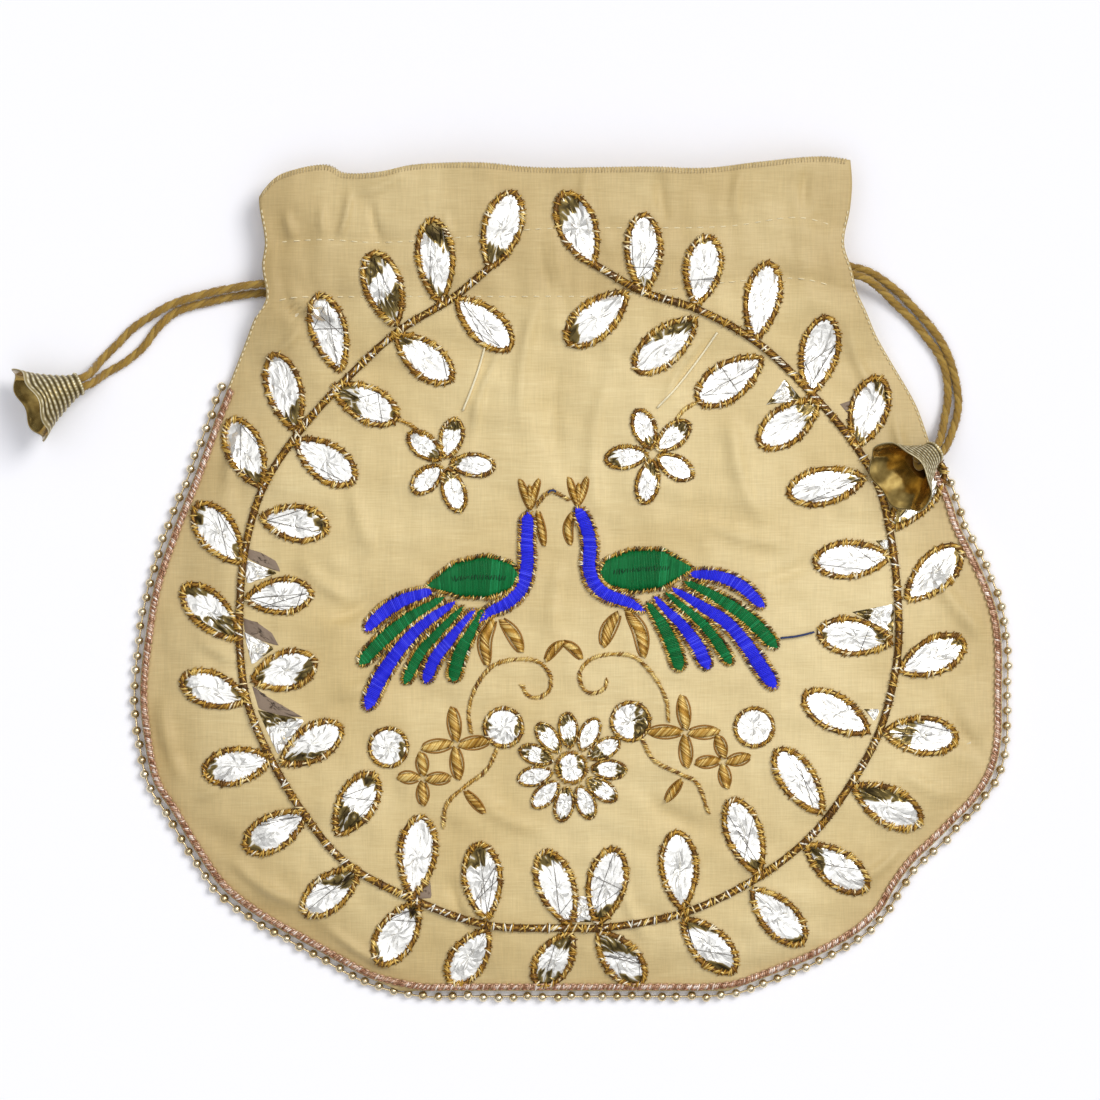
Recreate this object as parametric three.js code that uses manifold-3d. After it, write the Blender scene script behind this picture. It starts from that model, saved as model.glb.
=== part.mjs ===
// Potli bag: a lined drawstring pouch lying on its back, mouth towards +Y, embroidered face up.
// Millimetres, +Z up, origin under the middle of the bag.
import * as THREE from 'three';
import { mergeVertices } from 'three/addons/utils/BufferGeometryUtils.js';
import Module from 'manifold-3d';

const wasm = await Module();
wasm.setup();
const { lerp, smoothstep } = THREE.MathUtils;

// Overall sizes of the pouch
const BAG_WIDTH = 225; // side seam to side seam at the widest
const BAG_HEIGHT = 217.5; // bottom seam to the higher corner of the mouth
const FILL_HEIGHT = 10; // swell of the front above its seams
const SWELL_LINE = -20; // height on the pattern below which the swell dies away
const MOUTH_GAP = 6; // room between the front and the back casing

// Cloth and the clearance between neighbouring pieces
const FABRIC = 0.6;
const LINING = 0.4;
const FIT_GAP = 0.3;
const FRONT_COLUMNS = 12;
const BACK_COLUMNS = 4;

// Hem at the mouth: a header frill, then the drawcord casing between two stitch lines
const HEADER_DEPTH = 22.5;
const CASING_WIDTH = 15;
const CASING_RISE = 2.4; // run over which the facing lifts off the outer cloth
const FACING_HEM = 3;
const MOUTH_SLANT = 4.5; // how much lower the mouth is at its left corner
const SIDE_SLOPE = 3.2; // length over which the side seams part below the casing, for each mm of rise
const SLOT_DEPTH = 7; // cut back of the facing where the cords leave

// Drawcords and the bells on their ends
const CORD_DIAMETER = 2.2;
const CORD_SIDES = 8;
const CORD_SPREAD = 3.6; // offset of a run from the middle of the casing
const BELL_LENGTH = 15;
const BELL_MOUTH = 19.5;
const BELL_WALL = 0.5;
const BELL_COLLAR = 1.5;
const PETAL_COUNT = 6;
const PETAL_TIP = 1.2;
const KNOT_DIAMETER = 5.8;
const KNOT_SEAT = 4.4; // depth of a knot's middle below the rim of the neck
const RIGHT_BELL_TILT = 38; // degrees by which the right bell looks up

// Edging and embroidery
const BEAD_DIAMETER = 2.35;
const BEAD_PITCH = 3.9;
const BEAD_THREAD = 0.7;
const BEAD_SIDES = 6;
const BRAID_WIDTH = 2.2;
const BRAID_THICKNESS = 0.8;
const VINE_WIDTH = 2.7;
const VINE_HEIGHT = 1.2;
const LEAF_WIDTH = 10.2;
const LEAF_HEIGHT = 0.8;
const LEAF_LIFT = 0.44; // the leaves are padded, so they stand a little off the cloth
const LEAF_STALK = 3; // length of a leaf's stalk that is couched under the vine
const SATIN_HEIGHT = 0.8;
const FEATHER_WIDTH = 4;
const PETAL_WIDTH = 6.6;
const MIRROR_DIAMETER = 10.8;
const DAISY_REACH = 13.6;
const DAISY_PETALS = 11;
const DAISY_PETAL_WIDTH = 4.8;
const DAISY_DISC = 8.8;

// The paper pattern that the outline, the embroidery and the cord routes are drawn on
const PATTERN_WIDTH = 225;
const PATTERN_HEIGHT = 217.5;
const PATTERN_CASING = 80; // middle of the casing

// Side seam: height on the pattern, half width there
const SIDE_SEAM = [
  [110, 76.8], [100, 76.8], [87, 75.3], [72, 77.3], [57, 84.9], [45, 90.8], [27, 97.2],
  [13, 102.6], [-2, 108.8], [-14, 111.3], [-30, 112.5], [-42, 111.7], [-53, 108.9], [-60.5, 103.8],
  [-71, 95.4], [-80, 88.3], [-88, 80.7], [-95, 69.8], [-103, 54], [-107.5, 43],
];
// Sideways lean of the neck: height on the pattern, shift of the middle
const NECK_LEAN = [[110, -4.3], [88, -4.3], [72, -2.4], [57, -1.9], [30, -1], [0, 0], [-107.5, 0]];

const BEADS_START_LEFT = 49.5;
const BEADS_END_RIGHT = 30;

const VINE = [
  [-21, 80.5], [-30.5, 73], [-45.5, 64], [-60.5, 49.5], [-71.5, 37], [-80.5, 23], [-85, 7.5],
  [-86, -5.5], [-86, -18.5], [-84.5, -31.5], [-78.5, -46.5], [-69.5, -61.5], [-59, -73.5],
  [-40.5, -83.5], [-22, -90], [-0.5, -91], [7.5, -91], [29, -87], [48, -78], [62.5, -66.5],
  [72.5, -53.5], [80, -39.5], [84.5, -21], [85, -5.5], [83, 12.5], [79.5, 24.5], [73.5, 34.5],
  [63, 47.5], [48, 61], [32.5, 70], [18.5, 74.5], [5.5, 82],
];
// Leaves of the wreath: foot on the vine, then tip
const LEAVES = [
  [-21, 80.5, -15, 101], [-34, 72, -36.5, 93.5], [-45.5, 66, -52, 85], [-60, 54, -66, 74],
  [-71.5, 38.5, -77.5, 59], [-81, 24, -89, 42], [-86, 4.5, -96.5, 18.5], [-86.5, -15.5, -101.5, -1.5],
  [-85, -31.5, -102, -26], [-78.5, -47, -96.5, -50.5], [-69.5, -61, -85.5, -70.5],
  [-55.5, -75.5, -70, -87.5], [-40, -84.5, -49, -99], [-22, -91.5, -31, -103], [0, -92.5, -9, -102.8],
  [7, -92, 18, -103], [29, -89, 42, -101], [47, -81, 60, -95], [61, -69.5, 77.5, -82],
  [73.5, -54, 91.5, -64], [81.5, -40, 101, -41.5], [85.5, -24, 103, -16], [87.5, -5.5, 100, 7],
  [83.5, 13.5, 91.5, 27.5], [74, 34.5, 80.5, 53], [62, 48, 66.5, 68.5], [47.5, 62.5, 51.5, 82.5],
  [32.5, 71.5, 36, 89.5], [19, 74.5, 18.5, 95], [5.5, 82, -2, 100.5],
  [-29.5, 72.5, -15.5, 59.5], [-45.5, 63, -31, 51], [-62, 50, -45, 41], [-71.5, 36, -56, 25],
  [-80.5, 15.5, -63, 13], [-84.5, -5.5, -67, -4], [-83, -26.5, -66, -21.5], [-75.5, -47.5, -59.5, -38],
  [-60.5, -66.5, -52, -52], [-41, -82.5, -39, -61], [-22, -88.5, -24, -68], [-0.5, -90, -7.5, -70.5],
  [7, -89.5, 11.5, -69.5], [28.5, -85.5, 27, -65], [48.5, -76.5, 41.5, -57], [65, -60.5, 54, -46],
  [77, -39.5, 60, -30], [83, -16, 63.5, -14], [82.5, 5.5, 62.5, 4.5], [76, 26, 56, 22],
  [64, 46, 48.5, 34.5], [49.5, 57, 32.5, 45.5], [32, 67, 16, 53.5], [14, 74, -1.5, 60.5],
];
// Outline of one leaf: share of its length, share of its half width
const LEAF_OUTLINE = [[0.32, 0.62], [0.68, 1], [0.92, 0.6]];

const LEFT_PEACOCK = {
  body: [[-37.5, -2], [-31.5, 3], [-25.5, 5], [-19, 4.5], [-13.5, 1], [-14.5, -4], [-22, -7], [-30, -5]],
  neck: [[-11.5, 18], [-11.5, 9], [-11.5, 3], [-13, -2.5], [-17, -6.5], [-21.5, -9], [-23.5, -11]],
  feathers: [
    [[-30.5, -2.5], [-37, -4], [-43, -5.5], [-49, -9], [-53, -13]],
    [[-29, -3], [-34, -5.5], [-41.5, -10], [-48, -15], [-54.5, -22]],
    [[-27.5, -3.5], [-39.5, -12.5], [-45.5, -19.5], [-50, -26], [-53, -33.5]],
    [[-26.5, -3.5], [-28.5, -7.5], [-34, -13.5], [-39, -19], [-43, -27]],
    [[-24.5, -4], [-25.5, -8.5], [-31, -15], [-35, -20.5], [-38, -26.5]],
    [[-23, -4], [-23.5, -8], [-26.5, -14.5], [-29, -20], [-30.5, -26]],
  ],
};
const RIGHT_PEACOCK = {
  body: [[7, 1.5], [12, 6], [18, 7.5], [25, 6], [31.5, 2.5], [24.5, -3.5], [17.5, -5.5], [8, -3]],
  neck: [[1.5, 18], [4, 13.5], [5, 8.5], [4.5, 3], [5.5, -1], [9.5, -4.5], [14, -6], [18.5, -8.5]],
  feathers: [
    [[24.5, 1], [31.5, 1], [38, 0.5], [44, -2], [49.5, -7]],
    [[23, 0.5], [33.5, -2.5], [40, -6.5], [46.5, -11], [53, -17.5]],
    [[21.5, -0.5], [33.5, -7], [40, -11.5], [45, -16.5], [52.5, -28]],
    [[20.5, -1], [25, -4], [33.5, -11.5], [38, -16.5], [41.5, -22]],
    [[19, -1.5], [21.5, -5], [28, -11.5], [32.5, -17], [35.5, -23]],
    [[18, -2], [20, -6.5], [24, -12.5], [26.5, -18], [28, -23.5]],
  ],
};
const LEFT_BLOSSOM = {
  middle: [-33, 30],
  tips: [[-42.5, 38], [-30, 42], [-19.5, 29], [-28.5, 17], [-41.5, 22]],
};
const RIGHT_BLOSSOM = {
  middle: [21, 32.5],
  tips: [[17, 44.5], [31, 41], [32, 26], [18.5, 19], [8, 31]],
};
const MIRRORS = {
  left_outer_mirror: [-47.5, -44],
  left_inner_mirror: [-17.5, -38.5],
  right_inner_mirror: [15.5, -37],
  right_outer_mirror: [47.5, -38.5],
};
const DAISY = [0, -49];

// Free ends of the drawcords, from the side slot to the bell: X, Y on the pattern and height
const LEFT_FRONT_END = [
  [-84.5, 80.5, 5.6], [-89, 77, 3.6], [-94, 74.6, 3.2], [-104, 71.4, 3.1], [-109.5, 68.4, 2.2],
  [-114, 65.5, 1.2], [-118.5, 61, 1.2], [-122.5, 57, 1.2],
];
const LEFT_BACK_END = [
  [-85, 74.8, 1.5], [-94, 72.4, 1.2], [-103, 69.6, 1.2], [-108, 65.2, 1.2], [-111.5, 60.5, 1.2],
  [-116.5, 56.3, 1.2], [-121.5, 53.4, 1.2],
];
const RIGHT_FRONT_END = [
  [76.5, 76.2, 6], [80.5, 74, 3.6], [84.4, 70.8, 1.7], [88.5, 66.2, 1.2], [92, 62, 1.2],
  [95.2, 57.6, 1.2], [96.9, 52.6, 1.2], [97.1, 46.7, 1.3], [96.6, 41.4, 2.2],
];
const RIGHT_BACK_END = [
  [77.5, 82, 1.7], [84.4, 77, 1.2], [89.6, 71.6, 1.2], [94.5, 66.2, 1.2], [97.9, 60.2, 1.2],
  [99.5, 55.8, 1.2], [100.9, 50.8, 1.2], [101.6, 45.6, 1.3], [100.6, 40.6, 2.2],
];
const LEFT_BELL_NECK = [-128.3, 50.6];
const LEFT_BELL_HEADING = [-0.916, -0.4];
const RIGHT_BELL_NECK = [94.3, 32.9];
const RIGHT_BELL_HEADING = [-0.81, -0.59];

// Sizes that follow from the ones above
const CHANNEL = CORD_DIAMETER + 2 * FIT_GAP;
const CASING_DEPTH = 2 * FABRIC + CHANNEL;
const PATTERN_SCALE = Math.min(BAG_WIDTH / PATTERN_WIDTH, BAG_HEIGHT / PATTERN_HEIGHT);
const SEAM_STACK = 2 * FABRIC + 2 * LINING + 3 * FIT_GAP;
const CASING_STACK = 2 * CASING_DEPTH + 2 * FIT_GAP;
const SIDE_RISE = SIDE_SLOPE * (CASING_STACK - SEAM_STACK);
const [, TOP] = onBag(0, 110);
const [, BOTTOM] = onBag(0, -107.5);
const CASING_TOP = TOP - HEADER_DEPTH;
const CASING_FOOT = CASING_TOP - CASING_WIDTH;
const CASING_MIDDLE = (CASING_TOP + CASING_FOOT) / 2;
const FACING_END = CASING_FOOT - FACING_HEM;
const STRAND_OFFSET = CORD_DIAMETER / 2 + FIT_GAP / 4;
const BELL_NECK_BORE = 2 * CORD_DIAMETER + 2 * FIT_GAP;

const FINISH = {
  silk: { color: 0xcdb987, roughness: 0.62, metalness: 0 },
  lining: { color: 0xd8c9a4, roughness: 0.75, metalness: 0 },
  braid: { color: 0xc98f72, roughness: 0.4, metalness: 0.7 },
  bead: { color: 0xc9ad6a, roughness: 0.25, metalness: 1 },
  cord: { color: 0x9a7b2c, roughness: 0.8, metalness: 0 },
  bell: { color: 0xa8935a, roughness: 0.35, metalness: 0.8 },
  gold_thread: { color: 0xa87d2c, roughness: 0.4, metalness: 0.7 },
  satin: { color: 0x2a2fe0, roughness: 0.5, metalness: 0 },
  foil: { color: 0xf2efe6, roughness: 0.2, metalness: 0.9 },
};

// A point of the paper pattern, carried over to the bag
function onBag(x, y) {
  return [(x * BAG_WIDTH) / PATTERN_WIDTH, (y * BAG_HEIGHT) / PATTERN_HEIGHT];
}

// A point of the pattern beside the neck, where heights are measured from the casing
function besideNeck(x, y) {
  const [, fromCasing] = onBag(0, y - PATTERN_CASING);
  return [onBag(x, 0)[0], CASING_MIDDLE + fromCasing];
}

// Value at height y in a table that runs from the mouth down
function lookUp(table, y) {
  const below = table.findIndex(([height]) => height <= y);
  if (below <= 0) return table[below === 0 ? 0 : table.length - 1][1];
  const [highY, highValue] = table[below - 1];
  const [lowY, lowValue] = table[below];
  return lerp(lowValue, highValue, (y - lowY) / (highY - lowY));
}

const BAG_SEAM = SIDE_SEAM.map(([y, half]) => onBag(half, y).reverse());
const BAG_LEAN = NECK_LEAN.map(([y, shift]) => onBag(shift, y).reverse());
const reachAt = (y) => lookUp(BAG_SEAM, y);
const leanAt = (y) => lookUp(BAG_LEAN, y);

// Height of the front's outer face: closed seams below, parted edges at the casing, a swell between
function frontHeight(x, y) {
  const across = Math.min(1, Math.abs(x - leanAt(y)) / reachAt(y));
  const atCasing = smoothstep(y, CASING_FOOT - SIDE_RISE, CASING_FOOT);
  const rim = lerp(SEAM_STACK, CASING_STACK, atCasing);
  const swell = lerp(FILL_HEIGHT, MOUTH_GAP - 2 * FIT_GAP, atCasing);
  const swellLine = onBag(0, SWELL_LINE)[1];
  const below = Math.max(0, (swellLine - y) / (swellLine - BOTTOM));
  return rim + swell * (1 - below ** 3) * (1 - across ** 2.5);
}

// While an end cap is divided its profile is bowed, so that no point of a straight run drops out.
// The strong bow of a thin cloth edge also keeps each triangle of its cap between neighbouring points.
const CAP_BOW = 1e-5;
const CLOTH_BOW = 0.02;

// Closed solid through a row of like profiles; profile axis 1 x axis 2 points along the row
function loft(profiles, place, bow = CAP_BOW) {
  const wound = (loop, clockwise) =>
    THREE.ShapeUtils.isClockWise(loop) === clockwise ? loop : [...loop].reverse();
  const stations = profiles.map(({ outline, holes = [] }) => [
    wound(outline, false), ...holes.map((hole) => wound(hole, true)),
  ]);
  const ringSize = stations[0].flat().length;
  const positions = stations.flatMap((loops, i) => loops.flat().flatMap((p) => place(i, p.x, p.y)));
  const triangles = [];
  for (let i = 0; i + 1 < stations.length; i += 1) {
    let start = i * ringSize;
    for (const loop of stations[i]) {
      for (let k = 0; k < loop.length; k += 1) {
        const a = start + k;
        const b = start + ((k + 1) % loop.length);
        triangles.push(a, b, a + ringSize, b, b + ringSize, a + ringSize);
      }
      start += loop.length;
    }
  }
  const last = (stations.length - 1) * ringSize;
  const bowed = (loop) => loop.map((p) => new THREE.Vector2(p.x, p.y + bow * p.x * p.x));
  const capOf = ([outline, ...holes]) => THREE.ShapeUtils.triangulateShape(bowed(outline), holes.map(bowed));
  for (const [a, b, c] of capOf(stations[0])) triangles.push(c, b, a);
  for (const [a, b, c] of capOf(stations.at(-1))) triangles.push(last + a, last + b, last + c);
  return geometryOf(positions, triangles);
}

function geometryOf(positions, triangles) {
  const geometry = new THREE.BufferGeometry();
  geometry.setAttribute('position', new THREE.Float32BufferAttribute(positions, 3));
  geometry.setIndex(triangles);
  return geometry;
}

// The same surface without normals and texture coordinates, so that its corners can be merged
function bare(geometry) {
  const copy = geometry.clone();
  copy.deleteAttribute('normal');
  copy.deleteAttribute('uv');
  return copy;
}

function toSolid(geometry) {
  const merged = mergeVertices(bare(geometry), 1e-5);
  const vertProperties = new Float32Array(merged.attributes.position.array);
  const triVerts = new Uint32Array(merged.index.array);
  return new wasm.Manifold(new wasm.Mesh({ numProp: 3, vertProperties, triVerts }));
}

function fromSolid(solid) {
  const mesh = solid.getMesh();
  return geometryOf(Array.from(mesh.vertProperties), Array.from(mesh.triVerts));
}

const joined = (geometries) => fromSolid(geometries.map(toSolid).reduce((all, one) => all.add(one)));

function cut(geometry, tools) {
  const solid = tools.map(toSolid).reduce((left, tool) => left.subtract(tool), toSolid(geometry));
  return fromSolid(solid);
}

const vectors = (pairs) => pairs.map(([a, b]) => new THREE.Vector2(a, b));

// Heights at which a cloth panel is laid out, from the bottom seam to the given end
function heightsUpTo(end) {
  const onSideRise = [1, 0.75, 0.5, 0.35].map((share) => CASING_FOOT - share * SIDE_RISE);
  const heights = [...onSideRise, ...BAG_SEAM.map(([y]) => y)].filter((y) => y < end - 1);
  return [...heights.sort((a, b) => a - b), end];
}

// Outer panel: the cloth, its hem folded inward at the mouth and stitched down round the cord channel
function panelProfile(sign) {
  const outside = [...heightsUpTo(FACING_END), CASING_FOOT, CASING_TOP, TOP].map((y) => [y, 0]);
  const facing = [
    [TOP, 2 * FABRIC], [CASING_TOP + 1, 2 * FABRIC], [CASING_TOP - CASING_RISE, CASING_DEPTH],
    [CASING_FOOT + CASING_RISE, CASING_DEPTH], [CASING_FOOT - 1, 2 * FABRIC], [FACING_END, 2 * FABRIC],
  ];
  const inside = heightsUpTo(FACING_END).reverse().map((y) => [y, FABRIC]);
  const channel = [
    [CASING_TOP - FABRIC, FABRIC], [CASING_TOP - CASING_RISE - FIT_GAP, FABRIC + CHANNEL],
    [CASING_FOOT + CASING_RISE + FIT_GAP, FABRIC + CHANNEL], [CASING_FOOT + FABRIC, FABRIC],
  ];
  const turned = (points) => vectors(points.map(([y, depth]) => [y, sign * depth]));
  return { outline: turned([...outside, ...facing, ...inside]), holes: [turned(channel)] };
}

// The mouth is cut on a slant, so the header grows longer towards the right
function mouthShift(share, y) {
  const inHeader = Math.max(0, (y - CASING_TOP) / HEADER_DEPTH);
  return -MOUTH_SLANT * (1 - share) * inHeader;
}

function clothPanel(profile, columns, heightAt) {
  const profiles = Array.from({ length: columns + 1 }, () => profile);
  return loft(profiles, (column, y, depth) => {
    const share = column / columns;
    const x = leanAt(y) + reachAt(y) * (2 * share - 1);
    return [x, y + mouthShift(share, y), heightAt(x, y) + depth];
  }, CLOTH_BOW);
}

function boxBetween([x0, y0, z0], [x1, y1, z1]) {
  const box = new THREE.BoxGeometry(x1 - x0, y1 - y0, z1 - z0);
  return box.translate((x0 + x1) / 2, (y0 + y1) / 2, (z0 + z1) / 2);
}

// Cuts that take the facing back at both side edges, so that a cord can leave or turn there
function slotCuts(low, high) {
  const inner = reachAt(CASING_TOP) - SLOT_DEPTH;
  const outer = reachAt(CASING_FOOT) + SLOT_DEPTH;
  const lean = leanAt(CASING_MIDDLE);
  const spans = [[lean - outer, lean - inner], [lean + inner, lean + outer]];
  return spans.map(([x0, x1]) => boxBetween([x0, CASING_FOOT - 1, low], [x1, CASING_TOP + 1, high]));
}

const back = () => 0;
const backSlots = slotCuts(FABRIC + FIT_GAP, CASING_DEPTH + FIT_GAP / 2);
const backPanel = cut(clothPanel(panelProfile(1), BACK_COLUMNS, back), backSlots);
const frontSlots = slotCuts(CASING_STACK - CASING_DEPTH - FIT_GAP, CASING_STACK - 2 * FABRIC);
const frontPanel = cut(clothPanel(panelProfile(-1), FRONT_COLUMNS, frontHeight), frontSlots);

// Lining sheet, one layer in from the outer cloth and sewn into the same seam
function liningProfile(sign) {
  const heights = heightsUpTo(FACING_END - FIT_GAP);
  const outerFace = heights.map((y) => [y, sign * (FABRIC + FIT_GAP)]);
  const innerFace = [...heights].reverse().map((y) => [y, sign * (FABRIC + FIT_GAP + LINING)]);
  return { outline: vectors([...outerFace, ...innerFace]) };
}

const backLining = clothPanel(liningProfile(1), BACK_COLUMNS, back);
const frontLining = clothPanel(liningProfile(-1), FRONT_COLUMNS, frontHeight);

// Seam edge in plan, from the left end of the beads round the bottom to their right end
function seamEdge() {
  const step = 3;
  const side = (sign, top) => {
    const count = Math.round((top - BOTTOM) / step);
    const heights = Array.from({ length: count + 1 }, (_, i) => lerp(top, BOTTOM, i / count));
    return heights.map((y) => new THREE.Vector3(leanAt(y) + sign * reachAt(y), y, 0));
  };
  const left = side(-1, onBag(0, BEADS_START_LEFT)[1]);
  const right = side(1, onBag(0, BEADS_END_RIGHT)[1]).reverse();
  const bottom = [-0.5, 0, 0.5].map((share) => new THREE.Vector3(share * reachAt(BOTTOM), BOTTOM, 0));
  return new THREE.CatmullRomCurve3([...left, ...bottom, ...right], false, 'centripetal');
}

// Frames along a plan curve; the sideways axis points to the left of the way along it
function planFrames(curve, count) {
  return Array.from({ length: count + 1 }, (_, i) => {
    const point = curve.getPointAt(i / count);
    const along = curve.getTangentAt(i / count);
    const sideways = new THREE.Vector2(-along.y, along.x).normalize();
    return { point, sideways };
  });
}

// Small metal balls strung on a thread just outside the seam
function beadEdging() {
  const edge = seamEdge();
  const beadCount = Math.floor(edge.getLength() / BEAD_PITCH);
  const frames = planFrames(edge, beadCount * 2);
  const outset = BEAD_DIAMETER / 2 + FIT_GAP;
  const profiles = frames.map((_, i) => {
    const radius = (i % 2 ? BEAD_DIAMETER : BEAD_THREAD) / 2;
    const corner = (k) => (2 * Math.PI * (k + 0.5)) / BEAD_SIDES;
    const corners = Array.from({ length: BEAD_SIDES }, (__, k) => corner(k));
    return { outline: vectors(corners.map((a) => [radius * Math.cos(a), radius * Math.sin(a)])) };
  });
  return loft(profiles, (i, across, up) => {
    const { point, sideways } = frames[i];
    const reach = across - outset;
    return [point.x + sideways.x * reach, point.y + sideways.y * reach, SEAM_STACK / 2 + up];
  });
}

// Band that lies on the front along a plan curve
function bandOnFront(curve, steps, width, thickness, inset) {
  const frames = planFrames(curve, steps);
  const section = [[-width / 2, 0], [width / 2, 0], [width / 2, thickness], [-width / 2, thickness]];
  const profiles = frames.map(() => ({ outline: vectors(section) }));
  return loft(profiles, (i, across, up) => {
    const { point, sideways } = frames[i];
    const x = point.x + sideways.x * (across + inset);
    const y = point.y + sideways.y * (across + inset);
    return [x, y, frontHeight(x, y) + FIT_GAP + up];
  });
}

const edgeBraid = bandOnFront(seamEdge(), 64, BRAID_WIDTH, BRAID_THICKNESS, BRAID_WIDTH / 2 + FIT_GAP);

// Flat piece of applique with the given plan outline, laid on the front
function patch(outline, thickness, lift = FIT_GAP) {
  const profile = { outline };
  return loft([profile, profile], (i, x, y) => [x, y, frontHeight(x, y) + lift + i * thickness]);
}

function leafOutline(foot, tip, width, stalk) {
  const along = tip.clone().sub(foot);
  const across = new THREE.Vector2(-along.y, along.x).normalize().multiplyScalar(width / 2);
  const start = foot.clone().sub(along.clone().setLength(stalk));
  const edge = (sign) => ([t, w]) => foot.clone().addScaledVector(along, t).addScaledVector(across, sign * w);
  return [start, ...LEAF_OUTLINE.map(edge(1)), tip, ...[...LEAF_OUTLINE].reverse().map(edge(-1))];
}

const plan = (x, y) => new THREE.Vector2(...onBag(x, y));

// Wreath: one couched vine with foil leaves to both sides of it
function leafWreath() {
  const route = VINE.map(([x, y]) => new THREE.Vector3(...onBag(x, y), 0));
  const vine = bandOnFront(new THREE.CatmullRomCurve3(route), 50, VINE_WIDTH, VINE_HEIGHT, 0);
  const leaves = LEAVES.map(([footX, footY, tipX, tipY]) => {
    const outline = leafOutline(plan(footX, footY), plan(tipX, tipY), LEAF_WIDTH * PATTERN_SCALE, LEAF_STALK);
    return patch(outline, LEAF_HEIGHT, LEAF_LIFT);
  });
  return joined([vine, ...leaves]);
}

// Satin-stitched strip along a centre line, rounded off to a point at its end
function satinStrip(points, width) {
  const curve = new THREE.SplineCurve(points.map(([x, y]) => plan(x, y)));
  const steps = 4;
  const rim = (sign) => (i) => {
    const along = curve.getTangent(i / steps);
    const half = (sign * width * (i === steps ? 0.45 : 1)) / 2;
    return curve.getPoint(i / steps).add(new THREE.Vector2(-along.y, along.x).multiplyScalar(half));
  };
  const marks = Array.from({ length: steps + 1 }, (_, i) => i);
  return [...marks.map(rim(1)), ...marks.reverse().map(rim(-1))];
}

function peacock({ body, neck, feathers }) {
  const strips = [neck, ...feathers].map((points) => patch(satinStrip(points, FEATHER_WIDTH), SATIN_HEIGHT));
  return joined([patch(body.map(([x, y]) => plan(x, y)), 1.2 * SATIN_HEIGHT), ...strips]);
}

function disc(centre, diameter) {
  const circle = new THREE.Path().absarc(centre.x, centre.y, diameter / 2, 0, 2 * Math.PI);
  return circle.getPoints(8).slice(0, -1);
}

function blossom({ middle, tips }) {
  const centre = plan(...middle);
  const width = PETAL_WIDTH * PATTERN_SCALE;
  const petals = tips.map((tip) => patch(leafOutline(centre, plan(...tip), width, 0), LEAF_HEIGHT));
  return joined([patch(disc(centre, width / 2), VINE_HEIGHT), ...petals]);
}

function daisy() {
  const centre = plan(...DAISY);
  const petals = Array.from({ length: DAISY_PETALS }, (_, i) => {
    const angle = (2 * Math.PI * (i + 0.25)) / DAISY_PETALS + Math.PI / 2;
    const spoke = new THREE.Vector2(Math.cos(angle), Math.sin(angle));
    const foot = centre.clone().addScaledVector(spoke, (PATTERN_SCALE * DAISY_DISC) / 4);
    const tip = centre.clone().addScaledVector(spoke, PATTERN_SCALE * DAISY_REACH);
    return patch(leafOutline(foot, tip, PATTERN_SCALE * DAISY_PETAL_WIDTH, 0), LEAF_HEIGHT);
  });
  return joined([patch(disc(centre, PATTERN_SCALE * DAISY_DISC), VINE_HEIGHT), ...petals]);
}

const mirror = ([x, y]) => patch(disc(plan(x, y), PATTERN_SCALE * MIRROR_DIAMETER), LEAF_HEIGHT);

// Cone of thin ribbed metal cloth with a petal lip, turned about its own axis from the neck down
function bellCone() {
  const neck = BELL_NECK_BORE / 2 + BELL_WALL;
  const outside = [0, BELL_COLLAR, 0.35 * BELL_LENGTH, 0.62 * BELL_LENGTH, 0.84 * BELL_LENGTH, BELL_LENGTH];
  const radiusAt = (s) => {
    const share = Math.max(0, s - BELL_COLLAR) / (BELL_LENGTH - BELL_COLLAR);
    return lerp(neck, BELL_MOUTH / 2, share ** 1.15);
  };
  const outer = outside.map((s) => new THREE.Vector2(radiusAt(s), s));
  const inner = [...outer].reverse().map((p) => new THREE.Vector2(p.x - BELL_WALL, p.y));
  const turned = new THREE.LatheGeometry([...outer, ...inner, outer[0].clone()], 3 * PETAL_COUNT);
  const cone = mergeVertices(bare(turned), 1e-4);
  const position = cone.attributes.position;
  for (let i = 0; i < position.count; i += 1) {
    const spoke = Math.atan2(position.getX(i), position.getZ(i));
    const nearLip = smoothstep(position.getY(i), 0.6 * BELL_LENGTH, BELL_LENGTH);
    position.setY(i, position.getY(i) + nearLip * PETAL_TIP * (Math.cos(PETAL_COUNT * spoke) - 1) / 2);
  }
  return facingOut(cone);
}

// Turns the faces round where the solid's signed volume comes out negative
function facingOut(geometry) {
  const position = geometry.attributes.position;
  const corner = (i) => new THREE.Vector3().fromBufferAttribute(position, geometry.index.getX(i));
  let volume = 0;
  for (let i = 0; i < geometry.index.count; i += 3) {
    volume += corner(i).dot(corner(i + 1).cross(corner(i + 2)));
  }
  if (volume < 0) geometry.index.array.reverse();
  return geometry;
}

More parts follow.
